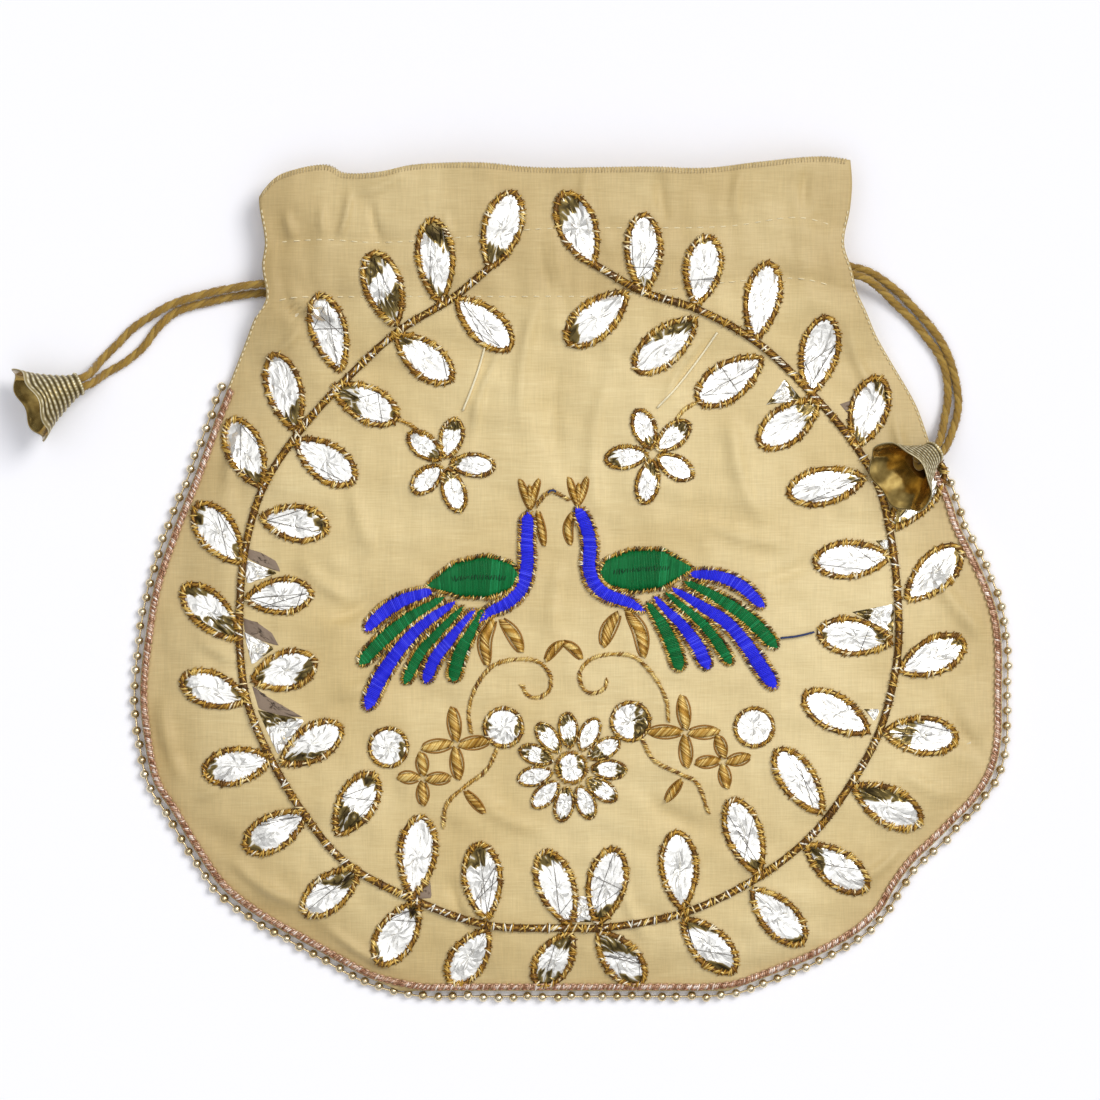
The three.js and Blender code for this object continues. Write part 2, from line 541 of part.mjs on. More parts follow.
// A bell in its place: its mesh, and points along its axis for the two cord strands that it hangs on
function placedBell(name, [neckX, neckY], [headX, headY], tilt, floorAt) {
  const geometry = bellCone();
  const axis = new THREE.Vector3(headX * Math.cos(tilt), headY * Math.cos(tilt), Math.sin(tilt)).normalize();
  const mesh = part(name, geometry, FINISH.bell);
  mesh.quaternion.setFromUnitVectors(new THREE.Vector3(0, 1, 0), axis);
  mesh.position.set(...besideNeck(neckX, neckY), 0);
  mesh.updateMatrix();
  const vertex = new THREE.Vector3();
  let lift = -Infinity;
  for (let i = 0; i < geometry.attributes.position.count; i += 1) {
    vertex.fromBufferAttribute(geometry.attributes.position, i).applyMatrix4(mesh.matrix);
    lift = Math.max(lift, floorAt(vertex.x, vertex.y) - vertex.z);
  }
  mesh.position.z = lift;
  const sideways = new THREE.Vector3(-axis.y, axis.x, 0).normalize();
  const at = (s, side) => mesh.position.clone().addScaledVector(axis, s).addScaledVector(sideways, side);
  return { mesh, at };
}

// What the right bell lies on: the embroidered front, and the bead edging beyond its edge
function frontTop(x, y) {
  const onPanel = Math.abs(x - leanAt(y)) <= reachAt(y);
  const beadTop = SEAM_STACK / 2 + BEAD_DIAMETER / 2;
  return onPanel ? frontHeight(x, y) + VINE_HEIGHT + 2 * FIT_GAP : beadTop + FIT_GAP;
}

const restTilt = Math.atan2((BELL_MOUTH - BELL_NECK_BORE) / 2 - BELL_WALL, BELL_LENGTH - BELL_COLLAR);
const leftBell = placedBell('left_bell', LEFT_BELL_NECK, LEFT_BELL_HEADING, restTilt, () => 0);
const rightTilt = THREE.MathUtils.degToRad(RIGHT_BELL_TILT);
const rightBell = placedBell('right_bell', RIGHT_BELL_NECK, RIGHT_BELL_HEADING, rightTilt, frontTop);

const CORD_END = KNOT_SEAT - KNOT_DIAMETER / 2 - FIT_GAP;

function knot(bell) {
  const centre = bell.at(KNOT_SEAT, 0);
  return new THREE.SphereGeometry(KNOT_DIAMETER / 2, 10, 7).translate(centre.x, centre.y, centre.z);
}

// Whole route of a drawcord: bell, side slot, front casing, round the far side, back casing, bell.
// side is -1 for the cord that leaves at the left; its front run lies nearer the mouth.
function drawcordRoute(side, bell, frontEnd, backEnd) {
  const frontY = CASING_MIDDLE - side * CORD_SPREAD;
  const backY = CASING_MIDDLE + side * CORD_SPREAD;
  const runDepth = FABRIC + CHANNEL / 2;
  const edgeX = (sign, y) => leanAt(y) + sign * reachAt(y);
  const frontRun = (x) => new THREE.Vector3(x, frontY, frontHeight(x, frontY) - runDepth);
  const backRun = (x) => new THREE.Vector3(x, backY, runDepth);
  const pastSlot = SLOT_DEPTH + CORD_DIAMETER;
  const intoSlot = (run, y) => [1, pastSlot].map((inside) => run(edgeX(side, y) - side * inside));
  const shares = [-0.75, -0.45, -0.15, 0.15, 0.45, 0.75];
  const spread = shares.map((share) => leanAt(CASING_MIDDLE) - side * share * reachAt(CASING_MIDDLE));
  const free = (points) => points.map(([x, y, z]) => new THREE.Vector3(...besideNeck(x, y), z));
  const inBell = (sign) => [CORD_END, -0.5, -3].map((s) => bell.at(s, sign * STRAND_OFFSET));
  return [
    ...inBell(-1), ...free(frontEnd).reverse(), ...intoSlot(frontRun, frontY), ...spread.map(frontRun),
    ...farTurn(side, edgeX(-side, CASING_TOP), frontRun, backRun),
    ...spread.reverse().map(backRun), ...intoSlot(backRun, backY).reverse(), ...free(backEnd),
    ...inBell(1).reverse(),
  ];
}

// Half circle that carries a drawcord from the front casing into the back one at its far side
function farTurn(side, edge, frontRun, backRun) {
  const start = edge + side * (CORD_SPREAD + CORD_DIAMETER);
  const middle = frontRun(start).lerp(backRun(start), 0.5);
  const half = frontRun(start).sub(middle);
  const outward = new THREE.Vector3(-side * half.length(), 0, 0);
  const angles = [0, 0.25, 0.5, 0.75, 1].map((share) => share * Math.PI);
  return angles.map((a) =>
    middle.clone().addScaledVector(half, Math.cos(a)).addScaledVector(outward, Math.sin(a)));
}

function drawcord(route) {
  const corners = Array.from({ length: CORD_SIDES }, (_, k) => (2 * Math.PI * k) / CORD_SIDES);
  const radius = CORD_DIAMETER / 2;
  const section = new THREE.Shape(vectors(corners.map((a) => [radius * Math.cos(a), radius * Math.sin(a)])));
  const extrudePath = new THREE.CatmullRomCurve3(route, false, 'centripetal');
  return new THREE.ExtrudeGeometry(section, { steps: 64, extrudePath, bevelEnabled: false });
}

const leftRoute = drawcordRoute(-1, leftBell, LEFT_FRONT_END, LEFT_BACK_END);
const rightRoute = drawcordRoute(1, rightBell, RIGHT_FRONT_END, RIGHT_BACK_END);

function part(name, geometry, finish) {
  const mesh = new THREE.Mesh(geometry, new THREE.MeshStandardMaterial(finish));
  mesh.name = name;
  return mesh;
}

const bag = new THREE.Group();
bag.add(
  part('back_panel', backPanel, FINISH.silk),
  part('front_panel', frontPanel, FINISH.silk),
  part('back_lining', backLining, FINISH.lining),
  part('front_lining', frontLining, FINISH.lining),
  part('edge_braid', edgeBraid, FINISH.braid),
  part('bead_edging', beadEdging(), FINISH.bead),
  part('left_drawcord', drawcord(leftRoute), FINISH.cord),
  part('right_drawcord', drawcord(rightRoute), FINISH.cord),
  leftBell.mesh,
  rightBell.mesh,
  part('left_bell_knot', knot(leftBell), FINISH.cord),
  part('right_bell_knot', knot(rightBell), FINISH.cord),
  part('leaf_wreath', leafWreath(), FINISH.gold_thread),
  part('left_peacock', peacock(LEFT_PEACOCK), FINISH.satin),
  part('right_peacock', peacock(RIGHT_PEACOCK), FINISH.satin),
  part('left_blossom', blossom(LEFT_BLOSSOM), FINISH.foil),
  part('right_blossom', blossom(RIGHT_BLOSSOM), FINISH.foil),
  part('centre_daisy', daisy(), FINISH.foil),
  ...Object.entries(MIRRORS).map(([name, place]) => part(name, mirror(place), FINISH.foil)),
);

export default bag;
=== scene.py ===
"""Looks of the potli bag.

Blender objects are in metres in the CAD frame. The shapes below are drawn in millimetres.
"""
import math

import bpy
import numpy as np
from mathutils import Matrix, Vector


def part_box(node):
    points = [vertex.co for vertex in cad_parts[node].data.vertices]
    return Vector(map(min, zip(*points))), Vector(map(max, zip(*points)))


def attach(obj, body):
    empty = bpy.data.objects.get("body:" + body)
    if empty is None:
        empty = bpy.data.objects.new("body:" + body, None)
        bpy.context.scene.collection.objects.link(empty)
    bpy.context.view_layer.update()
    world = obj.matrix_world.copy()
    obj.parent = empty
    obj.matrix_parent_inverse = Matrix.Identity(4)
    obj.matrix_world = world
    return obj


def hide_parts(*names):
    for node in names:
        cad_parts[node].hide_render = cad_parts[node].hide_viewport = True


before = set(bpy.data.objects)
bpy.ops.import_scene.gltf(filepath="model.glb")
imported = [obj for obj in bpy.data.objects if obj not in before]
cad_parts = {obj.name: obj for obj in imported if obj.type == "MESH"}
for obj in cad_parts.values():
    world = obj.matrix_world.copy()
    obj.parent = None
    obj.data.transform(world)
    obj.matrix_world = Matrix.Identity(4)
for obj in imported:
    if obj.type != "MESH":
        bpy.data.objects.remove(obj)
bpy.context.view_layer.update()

MM = 0.001
SEED = 7

# Photograph frame: pixels of the 1100 x 1100 picture, and the pixel over the bag's origin
PHOTO_WIDTH_PX = 1100
PHOTO_MIDDLE_PX = (550.0, 550.0)
BAG_MIDDLE_PX = (571.5, 578.5)
MM_PER_PX = 0.26
CAMERA_HEIGHT_MM = 2200.0
SHARP_HEIGHT_MM = 8.0

# Cloth
FABRIC = 0.6
LINING = 0.4
LAYER_GAP = 0.3
CORD_DIAMETER = 2.2
CHANNEL = CORD_DIAMETER + 2 * LAYER_GAP
CASING_DEPTH = 2 * FABRIC + CHANNEL
SEAM_STACK = 2 * FABRIC + 2 * LINING + 3 * LAYER_GAP
CASING_STACK = 2 * CASING_DEPTH + 2 * LAYER_GAP
FILL_HEIGHT = 10.0
MOUTH_SWELL = 5.4
SWELL_LINE = -20.0
BOTTOM = -107.5
CASING_FOOT = 72.5
CASING_TOP = 87.5
SIDE_SLOPE = 3.2
SIDE_RISE = SIDE_SLOPE * (CASING_STACK - SEAM_STACK)

# Flat sizes of the cut cloth in metres
SILK_FLAT = (0.225, 0.2175)
FACING_FLAT = (0.153, 0.0405)
LINING_FLAT = (0.2238, 0.1767)

# Outline in photo pixels
LEFT_EDGE_PX = [
    (266, 170), (259, 197), (265, 243), (262, 265), (266, 300), (256, 315), (245, 342), (235, 367),
    (224, 395), (214, 420), (194, 475), (172, 530), (153, 587), (145, 632), (139, 692), (143, 738),
    (153, 784), (170, 811), (194, 851), (220, 888), (255, 916), (306, 945), (360, 975), (400, 992),
]
RIGHT_EDGE_PX = [
    (850, 157), (852, 183), (850, 209), (844, 244), (852, 270), (857, 292), (866, 311), (877, 336),
    (891, 360), (916, 403), (925, 426), (939, 468), (951, 496), (961, 526), (975, 554), (989, 584),
    (999, 615), (1003, 648), (1003, 695), (1002, 743), (995, 772), (979, 799), (957, 822), (935, 844),
    (914, 864), (897, 887), (882, 912), (860, 933), (822, 955), (775, 975), (728, 992),
]
TOP_EDGE_PX = [
    (259, 197), (266, 187), (278, 176), (295, 170), (314, 166), (329, 166), (341, 173), (377, 173),
    (411, 166), (440, 164), (482, 164), (525, 168), (560, 169), (648, 168), (703, 169), (757, 163),
    (820, 157), (850, 160),
]
UPPER_STITCH_PX = [
    (266, 243), (325, 240), (377, 243), (461, 238), (535, 230), (724, 227), (800, 218), (844, 229),
]
LOWER_STITCH_PX = [
    (264, 304), (293, 298), (348, 297), (472, 297), (546, 297), (616, 296), (724, 283), (800, 279),
    (852, 292),
]
# Upper ends of the bead edging
BEADS_LEFT_PX = (220.5, 388.5)
BEADS_RIGHT_PX = (939, 454)


def on_bag(pixels):
    """Millimetres on the bag for points of the photograph."""
    p = np.asarray(pixels, float)
    x = (p[..., 0] - BAG_MIDDLE_PX[0]) * MM_PER_PX
    y = (BAG_MIDDLE_PX[1] - p[..., 1]) * MM_PER_PX
    return np.stack([x, y], -1)


def resampled(line, step):
    """The same line with evenly spaced points."""
    length = np.concatenate([[0], np.cumsum(np.linalg.norm(np.diff(line, axis=0), axis=1))])
    marks = np.linspace(0, length[-1], max(2, int(round(length[-1] / step)) + 1))
    return np.stack([np.interp(marks, length, line[:, k]) for k in range(line.shape[1])], -1)


def smooth(points, step, closed=False):
    """Centripetal spline through the points, evenly spaced."""
    p = np.asarray(points, float)
    if closed:
        p = np.concatenate([p[-1:], p, p[:2]])
    else:
        p = np.concatenate([2 * p[:1] - p[1:2], p, 2 * p[-1:] - p[-2:-1]])
    pieces = []
    for a, b, c, d in zip(p[:-3], p[1:-2], p[2:-1], p[3:]):
        k1 = max(1e-6, np.linalg.norm(b - a) ** 0.5)
        k2 = k1 + max(1e-6, np.linalg.norm(c - b) ** 0.5)
        k3 = k2 + max(1e-6, np.linalg.norm(d - c) ** 0.5)
        t = np.linspace(k1, k2, 24, endpoint=False)[:, None]
        ab = a + (b - a) * t / k1
        bc = b + (c - b) * (t - k1) / (k2 - k1)
        cd = c + (d - c) * (t - k2) / (k3 - k2)
        abc = ab + (bc - ab) * t / k2
        bcd = bc + (cd - bc) * (t - k1) / (k3 - k1)
        pieces.append(abc + (bcd - abc) * (t - k1) / (k2 - k1))
    return resampled(np.concatenate(pieces + [p[-2:-1]]), step)


def height_table(pixels):
    """Heights and X of an edge, from the bottom up, for interpolation."""
    line = smooth(on_bag(pixels), 1.0)[::-1]
    keep = np.concatenate([[True], np.diff(np.maximum.accumulate(line[:, 1])) > 0])
    return line[keep, 1], line[keep, 0]


LEFT_TABLE = height_table(LEFT_EDGE_PX)
RIGHT_TABLE = height_table(RIGHT_EDGE_PX)
TOP_LINE = smooth(on_bag(TOP_EDGE_PX), 1.0)
UPPER_STITCH = smooth(on_bag(UPPER_STITCH_PX), 1.0)
LOWER_STITCH = smooth(on_bag(LOWER_STITCH_PX), 1.0)


def left_x(y):
    return np.interp(y, *LEFT_TABLE)


def right_x(y):
    return np.interp(y, *RIGHT_TABLE)


def line_height(line, x):
    return np.interp(x, line[:, 0], line[:, 1])


def ease(low, high, value):
    t = np.clip((value - low) / (high - low), 0, 1)
    return t * t * (3 - 2 * t)


def swell(x, y):
    """Height of the front's outer face before any creases."""
    middle = (left_x(y) + right_x(y)) / 2
    reach = (right_x(y) - left_x(y)) / 2
    across = np.clip(np.abs(x - middle) / reach, 0, 1)
    at_casing = ease(CASING_FOOT - SIDE_RISE, CASING_FOOT, y)
    rim = SEAM_STACK + (CASING_STACK - SEAM_STACK) * at_casing
    crown = FILL_HEIGHT + (MOUTH_SWELL - FILL_HEIGHT) * at_casing
    below = np.clip((SWELL_LINE - y) / (SWELL_LINE - BOTTOM), 0, 1)
    return rim + crown * (1 - below**3) * (1 - across**2.5)


# Soft creases of the cloth in photo pixels: two ends, half width and height in millimetres
CREASES = [
    (322, 206, 326, 240, 1.0, 0.35), (335, 246, 350, 190, 1.3, 0.45), (350, 196, 402, 176, 1.6, 0.35),
    (372, 206, 380, 240, 1.2, -0.4), (286, 212, 296, 240, 1.4, 0.4), (272, 210, 284, 300, 2.4, -0.5),
    (276, 300, 312, 292, 1.2, 0.8), (296, 298, 330, 318, 1.3, 0.6), (283, 290, 300, 318, 1.2, -0.7),
    (300, 260, 312, 296, 1.4, 0.35), (445, 215, 452, 238, 1.3, 0.35), (540, 240, 556, 300, 1.4, -0.5),
    (556, 236, 572, 306, 1.3, 0.45), (585, 172, 590, 228, 2.0, 0.3), (605, 232, 614, 262, 1.2, 0.4),
    (660, 176, 668, 226, 2.2, -0.35), (740, 172, 736, 220, 2.0, 0.35), (808, 166, 806, 216, 2.0, -0.35),
    (828, 222, 842, 284, 1.5, 0.4), (790, 224, 800, 276, 1.4, -0.3), (700, 232, 704, 282, 1.4, 0.3),
    (500, 352, 472, 440, 1.2, 0.4), (706, 336, 664, 402, 1.1, 0.4), (560, 350, 560, 470, 3.5, -0.35),
    (540, 300, 520, 420, 2.6, 0.35), (606, 380, 596, 520, 3.0, 0.35), (730, 420, 760, 520, 3.2, 0.4),
    (350, 480, 380, 560, 2.8, 0.35), (300, 560, 350, 600, 2.2, 0.4), (330, 620, 372, 600, 2.2, -0.4),
    (560, 560, 556, 640, 2.2, 0.3), (700, 520, 790, 545, 2.4, 0.3), (760, 580, 812, 560, 2.0, -0.35),
    (330, 700, 400, 660, 2.6, 0.35), (480, 800, 540, 830, 2.6, 0.35), (640, 790, 700, 830, 2.8, -0.35),
    (200, 640, 236, 660, 1.8, 0.35), (160, 700, 182, 780, 2.4, 0.5), (196, 800, 236, 770, 2.0, 0.35),
    (930, 560, 988, 640, 3.0, 0.5), (940, 690, 985, 760, 2.8, -0.5), (900, 770, 960, 800, 2.4, 0.4),
    (230, 860, 300, 905, 2.2, 0.4), (330, 930, 400, 970, 2.0, 0.35), (860, 880, 900, 850, 2.2, 0.4),
    (450, 880, 470, 930, 1.8, -0.3), (620, 880, 650, 940, 2.0, 0.3), (895, 420, 915, 470, 2.2, 0.45),
    (246, 420, 226, 500, 2.2, 0.4), (262, 360, 300, 330, 1.8, 0.4), (850, 330, 880, 400, 2.4, 0.4),
]
CREASE_STRENGTH = 3.4
CREASE_SHARPNESS = 0.65
# Slow rolls and short ripples of the cloth: height, count of waves, shortest and longest wave
ROLL_HEIGHT = 0.42
ROLL_WAVES = (16, 14, 42)
RIPPLE_HEIGHT = 0.2
RIPPLE_WAVES = (16, 6, 14)
# Width of the flat strip beside the seam
SEAM_FADE = 7
# Cloth at the stitch lines: gathered waves, the sunk thread, and the padded casing between the lines
PUCKER_HEIGHT = 0.16
STITCH_SINK = 0.45
CASING_BULGE = 0.55
# Share of a crease that the padded casing takes away, and the width over which it fades
CASING_FLATTENS = 0.75
CASING_FADE = 3


def ripples(x, y, seed, count, shortest, longest):
    """Even, isotropic unevenness with wavelengths between the two, about 1 high."""
    rng = np.random.default_rng(seed)
    total = np.zeros_like(np.asarray(x, float))
    for _ in range(count):
        turn = rng.uniform(0, math.pi)
        number = 2 * math.pi / rng.uniform(shortest, longest)
        total += np.sin(number * (x * math.cos(turn) + y * math.sin(turn)) + rng.uniform(0, 2 * math.pi))
    return total / math.sqrt(count)


def creases(x, y):
    total = np.zeros_like(np.asarray(x, float))
    for ax, ay, bx, by, width, height in CREASES:
        (x0, y0), (x1, y1) = on_bag([(ax, ay), (bx, by)])
        length = math.hypot(x1 - x0, y1 - y0)
        along = ((x - x0) * (x1 - x0) + (y - y0) * (y1 - y0)) / length
        off = ((x - x0) * (y1 - y0) - (y - y0) * (x1 - x0)) / length
        bow = 0.06 * length * np.sin(math.pi * np.clip(along / length, 0, 1))
        taper = ease(-0.15 * length, 0.3 * length, along) * (1 - ease(0.7 * length, 1.15 * length, along))
        total += height * taper * np.exp(-(((off - bow) / (CREASE_SHARPNESS * width)) ** 2))
    above_lower = ease(-CASING_FADE, 0, y - line_height(LOWER_STITCH, x))
    below_upper = ease(-CASING_FADE, 0, line_height(UPPER_STITCH, x) - y)
    return total * (1 - CASING_FLATTENS * above_lower * below_upper)


def puckers(x, y):
    """Drawn-up cloth along both stitch lines, and the padded casing between them."""
    upper = y - line_height(UPPER_STITCH, x)
    lower = y - line_height(LOWER_STITCH, x)
    wave = np.sin(x / 1.15 + 1.6 * np.sin(x / 6.3)) + 0.7 * np.sin(x / 2.3 + 2 * np.sin(x / 9.1))
    drawn = PUCKER_HEIGHT * wave * (np.exp(-np.abs(upper) / 4.5) + 1.2 * np.exp(-np.abs(lower) / 5.5))
    sunk = STITCH_SINK * (np.exp(-((upper / 0.8) ** 2)) + np.exp(-((lower / 0.9) ** 2)))
    casing = CASING_BULGE * np.clip(1 - ((upper + lower) / (upper - lower - 1e-6)) ** 2, 0, 1)
    return drawn - sunk + casing


def shaped_height(x, y):
    """Height of the front's outer face with its unevenness, creases and puckers."""
    from_side = ease(0, SEAM_FADE, np.minimum(x - left_x(y), right_x(y) - x))
    near_seam = from_side * ease(0, SEAM_FADE, y - BOTTOM)
    rolls = ROLL_HEIGHT * ripples(x, y, SEED, *ROLL_WAVES)
    soft = rolls + RIPPLE_HEIGHT * ripples(x, y, SEED + 1, *RIPPLE_WAVES)
    uneven = near_seam * (soft + CREASE_STRENGTH * creases(x, y))
    return swell(x, y) + uneven + puckers(x, y) * ease(0, 3, x - left_x(y))


# The front's height, worked out once on a fine grid
GRID_STEP = 0.4
GRID_X = np.arange(-118, 118, GRID_STEP)
GRID_Y = np.arange(-112, 114, GRID_STEP)
GRID_HEIGHT = shaped_height(*np.meshgrid(GRID_X, GRID_Y))


def front_height(x, y):
    """Height of the front's outer face, read between the grid's points."""
    column = np.clip((np.asarray(x, float) - GRID_X[0]) / GRID_STEP, 0, len(GRID_X) - 1.001)
    row = np.clip((np.asarray(y, float) - GRID_Y[0]) / GRID_STEP, 0, len(GRID_Y) - 1.001)
    i, j = column.astype(int), row.astype(int)
    u, v = column - i, row - j
    low = GRID_HEIGHT[j, i] * (1 - u) + GRID_HEIGHT[j, i + 1] * u
    high = GRID_HEIGHT[j + 1, i] * (1 - u) + GRID_HEIGHT[j + 1, i + 1] * u
    return low * (1 - v) + high * v


def new_object(name, vertices_mm, faces, materials, face_material=None, tone=None, smooth_shade=True):
    """Mesh object from millimetre vertices; tone is a number for each vertex that materials may read."""
    mesh = bpy.data.meshes.new(name)
    mesh.from_pydata((np.asarray(vertices_mm) * MM).tolist(), [], [list(f) for f in faces])
    for one in materials:
        mesh.materials.append(one)
    if face_material is not None:
        mesh.polygons.foreach_set("material_index", np.asarray(face_material, np.int32))
    if tone is not None:
        mesh.attributes.new("tone", "FLOAT", "POINT").data.foreach_set("value", np.asarray(tone, np.float32))
    mesh.polygons.foreach_set("use_smooth", np.full(len(mesh.polygons), smooth_shade))
    mesh.update()
    obj = bpy.data.objects.new(name, mesh)
    bpy.context.scene.collection.objects.link(obj)
    return obj


def wrapped_faces(index):
    """Four-sided faces between the rows of an index grid whose last column joins its first."""
    low, high = index[..., :-1, :], index[..., 1:, :]
    return np.stack([low, high, np.roll(high, -1, -1), np.roll(low, -1, -1)], -1).reshape(-1, 4)


class Stitching:
    """Many small tubes gathered into one mesh."""

    def __init__(self):
        self.vertices = []
        self.faces = []
        self.face_material = []
        self.tone = []
        self.count = 0

    def add(self, vertices, faces, tone, material=0):
        self.vertices.append(vertices)
        self.faces.extend((np.asarray(faces) + self.count).tolist())
        self.face_material.extend([material] * len(faces))
        self.tone.append(tone)
        self.count += len(vertices)

    def tubes(self, lines, radius, sides, tone, material=0, flat=1.0):
        """lines is (count, points, 3); radius a number or (count, points); tone a number or one a line."""
        lines = np.asarray(lines, float)
        count, points, _ = lines.shape
        radius = np.broadcast_to(radius, (count, points))
        along = np.gradient(lines, axis=1)
        along /= np.linalg.norm(along, axis=2, keepdims=True) + 1e-12
        side = np.cross(along, (0, 0, 1))
        side[np.linalg.norm(side, axis=2) < 1e-6] = (1, 0, 0)
        side /= np.linalg.norm(side, axis=2, keepdims=True)
        up = np.cross(side, along)
        angle = 2 * math.pi * (np.arange(sides) + 0.5) / sides
        reach = radius[:, :, None, None]
        across = side[:, :, None] * np.cos(angle)[:, None]
        ring = across + flat * up[:, :, None] * np.sin(angle)[:, None]
        vertices = (lines[:, :, None] + reach * ring).reshape(-1, 3)
        index = np.arange(count * points * sides).reshape(count, points, sides)
        ends = np.concatenate([index[:, 0], index[:, -1, ::-1]])
        tones = np.repeat(np.broadcast_to(tone, count), points * sides)
        start = self.count
        self.add(vertices, wrapped_faces(index), tones, material)
        self.faces.extend((ends + start).tolist())
        self.face_material.extend([material] * len(ends))

    def build(self, name, materials, smooth_shade=True):
        return new_object(
            name, np.concatenate(self.vertices), self.faces, materials, self.face_material,
            np.concatenate(self.tone), smooth_shade,
        )


def on_front(plan, lift):
    """Points of the plan, laid on the front of the bag."""
    plan = np.asarray(plan, float)
    z = front_height(plan[..., 0], plan[..., 1]) + lift
    return np.concatenate([plan, np.broadcast_to(z, plan.shape[:-1])[..., None]], -1)


def left_of(line, closed=False):
    """Unit directions along a plan line and to the left of it."""
    if closed:
        along = np.roll(line, -1, 0) - np.roll(line, 1, 0)
    else:
        along = np.gradient(line, axis=0)
    along = along / (np.linalg.norm(along, axis=1, keepdims=True) + 1e-12)
    return along, np.stack([-along[:, 1], along[:, 0]], -1)


# Spacing at which a running stitch is measured out
DASH_STEP = 0.25


def rim_of(line, width):
    """Closed plan line round a strip that has a width at each of its points."""
    _, left = left_of(line)
    reach = left * (width / 2)[:, None]
    return np.concatenate([line + reach, (line - reach)[::-1]])


def slanted_stitches(
    stitching, line, rng, width, radius, lift, slant, closed=False, tones=(0, 1), unruly=0.16,
):
    """Short stitches laid slantwise across a line, so that they read as a twisted rope."""
    along, left = left_of(line, closed)
    turn = slant + rng.normal(0, unruly, len(line))
    reach = width / 2 * rng.uniform(0.85, 1.12, len(line))
    way = along * np.cos(turn)[:, None] + left * np.sin(turn)[:, None]
    shares = np.array([-1, -0.5, 0, 0.5, 1])
    plan = line[:, None] + way[:, None] * (reach[:, None] * shares)[..., None]
    arch = radius * np.array([-0.3, 0.75, 1.1, 0.75, -0.3])
    points = on_front(plan, lift + arch[None] + rng.normal(0, 0.06, (len(line), 1)))
    thickness = radius * np.array([0.45, 0.95, 1.05, 0.95, 0.45])
    tone = rng.uniform(*tones, len(line))
    stitching.tubes(points, np.broadcast_to(thickness, points.shape[:2]), 4, tone)


def dashes(stitching, line, length, gap, radius, lift, tone):
    """Running stitch along a plan line."""
    fine = resampled(line, DASH_STEP)
    size = max(3, int(round(length / DASH_STEP)))
    step = max(size + 1, int(round((length + gap) / DASH_STEP)))
    starts = np.arange(0, len(fine) - size, step)
    picks = starts[:, None] + np.linspace(0, size, 5).round().astype(int)[None]
    arch = radius * np.array([-0.6, 0.5, 0.8, 0.5, -0.6])
    points = on_front(fine[np.clip(picks, 0, len(fine) - 1)], lift + arch[None])
    taper = radius * np.array([0.5, 1, 1, 1, 0.5])
    stitching.tubes(points, np.broadcast_to(taper, points.shape[:2]), 5, tone)


def satin_strip(
    stitching, line, width, rng, slant, crown, spacing=0.42, lift=0.1, material=0, radius=0.27, tones=(0, 1),
):
    """Satin stitch: close threads from edge to edge of a strip; width is a number or one for each point."""
    fine = resampled(np.column_stack([line, np.broadcast_to(width, len(line))]), spacing)
    along, left = left_of(fine[:, :2])
    way = left * math.cos(slant) + along * math.sin(slant)
    ends = 1 + rng.normal(0, 0.035, (len(fine), 2))
    shares = np.linspace(-1, 1, 7)
    stretch = np.where(shares < 0, ends[:, :1], ends[:, 1:])
    plan = fine[:, None, :2] + way[:, None] * (fine[:, 2:] / 2 * shares * stretch)[..., None]
    arch = crown * (1 - shares**2) ** 0.5
    points = on_front(plan, lift + arch[None] + rng.normal(0, 0.03, (len(fine), 1)))
    stitching.tubes(points, radius, 4, rng.uniform(*tones, len(fine)), material)


def linear(red, green, blue):
    """Shader colour of a colour as seen on a screen, 0 to 255."""
    share = np.array([red, green, blue]) / 255
    return tuple(np.where(share <= 0.04045, share / 12.92, ((share + 0.055) / 1.055) ** 2.4).tolist())


def new_material(name, colour, roughness, **sockets):
    """Principled material; further sockets are named as on the shader with _ for blanks."""
    material = bpy.data.materials.new(name)
    material.use_nodes = True
    shader = material.node_tree.nodes["Principled BSDF"]
    shader.inputs["Base Color"].default_value = (*colour, 1)
    shader.inputs["Roughness"].default_value = roughness
    for socket, value in sockets.items():
        shader.inputs[socket.replace("_", " ")].default_value = value
    return material


def new_node(material, kind, **settings):
    made = material.node_tree.nodes.new(kind)
    for key, value in settings.items():
        setattr(made, key, value)
    return made


def link(material, output, socket):
    material.node_tree.links.new(output, socket)


def stretched_noise(material, per_metre, detail=3.0):
    """Noise in object coordinates with that many cells a metre along X, Y and Z."""
    place = new_node(material, "ShaderNodeTexCoord")
    scaling = new_node(material, "ShaderNodeMapping")
    scaling.inputs["Scale"].default_value = per_metre
    noise = new_node(material, "ShaderNodeTexNoise")
    noise.inputs["Scale"].default_value = 1.0
    noise.inputs["Detail"].default_value = detail
    link(material, place.outputs["Object"], scaling.inputs["Vector"])
    link(material, scaling.outputs["Vector"], noise.inputs["Vector"])
    return noise.outputs["Fac"]


def thread_tone(material):
    """The number that each stitch carries."""
    return new_node(material, "ShaderNodeAttribute", attribute_name="tone").outputs["Fac"]


def set_stops(elements, stops):
    """Gives a colour ramp its places and colours."""
    while len(elements) < len(stops):
        elements.new(0.5)
    for element, (place, colour) in zip(elements, stops):
        element.position = place
        element.color = (*colour, 1)


def ramp(material, factor, stops):
    """Colours at places from 0 to 1."""
    made = new_node(material, "ShaderNodeValToRGB")
    set_stops(made.color_ramp.elements, stops)
    link(material, factor, made.inputs["Fac"])
    return made.outputs["Color"]


def multiplied(material, first, second):
    made = new_node(material, "ShaderNodeMix", data_type="RGBA", blend_type="MULTIPLY")
    made.inputs["Factor"].default_value = 1.0
    link(material, first, made.inputs["A"])
    link(material, second, made.inputs["B"])
    return made.outputs["Result"]


def shader_of(material):
    return material.node_tree.nodes["Principled BSDF"]


def coloured(material, colour):
    link(material, colour, shader_of(material).inputs["Base Color"])


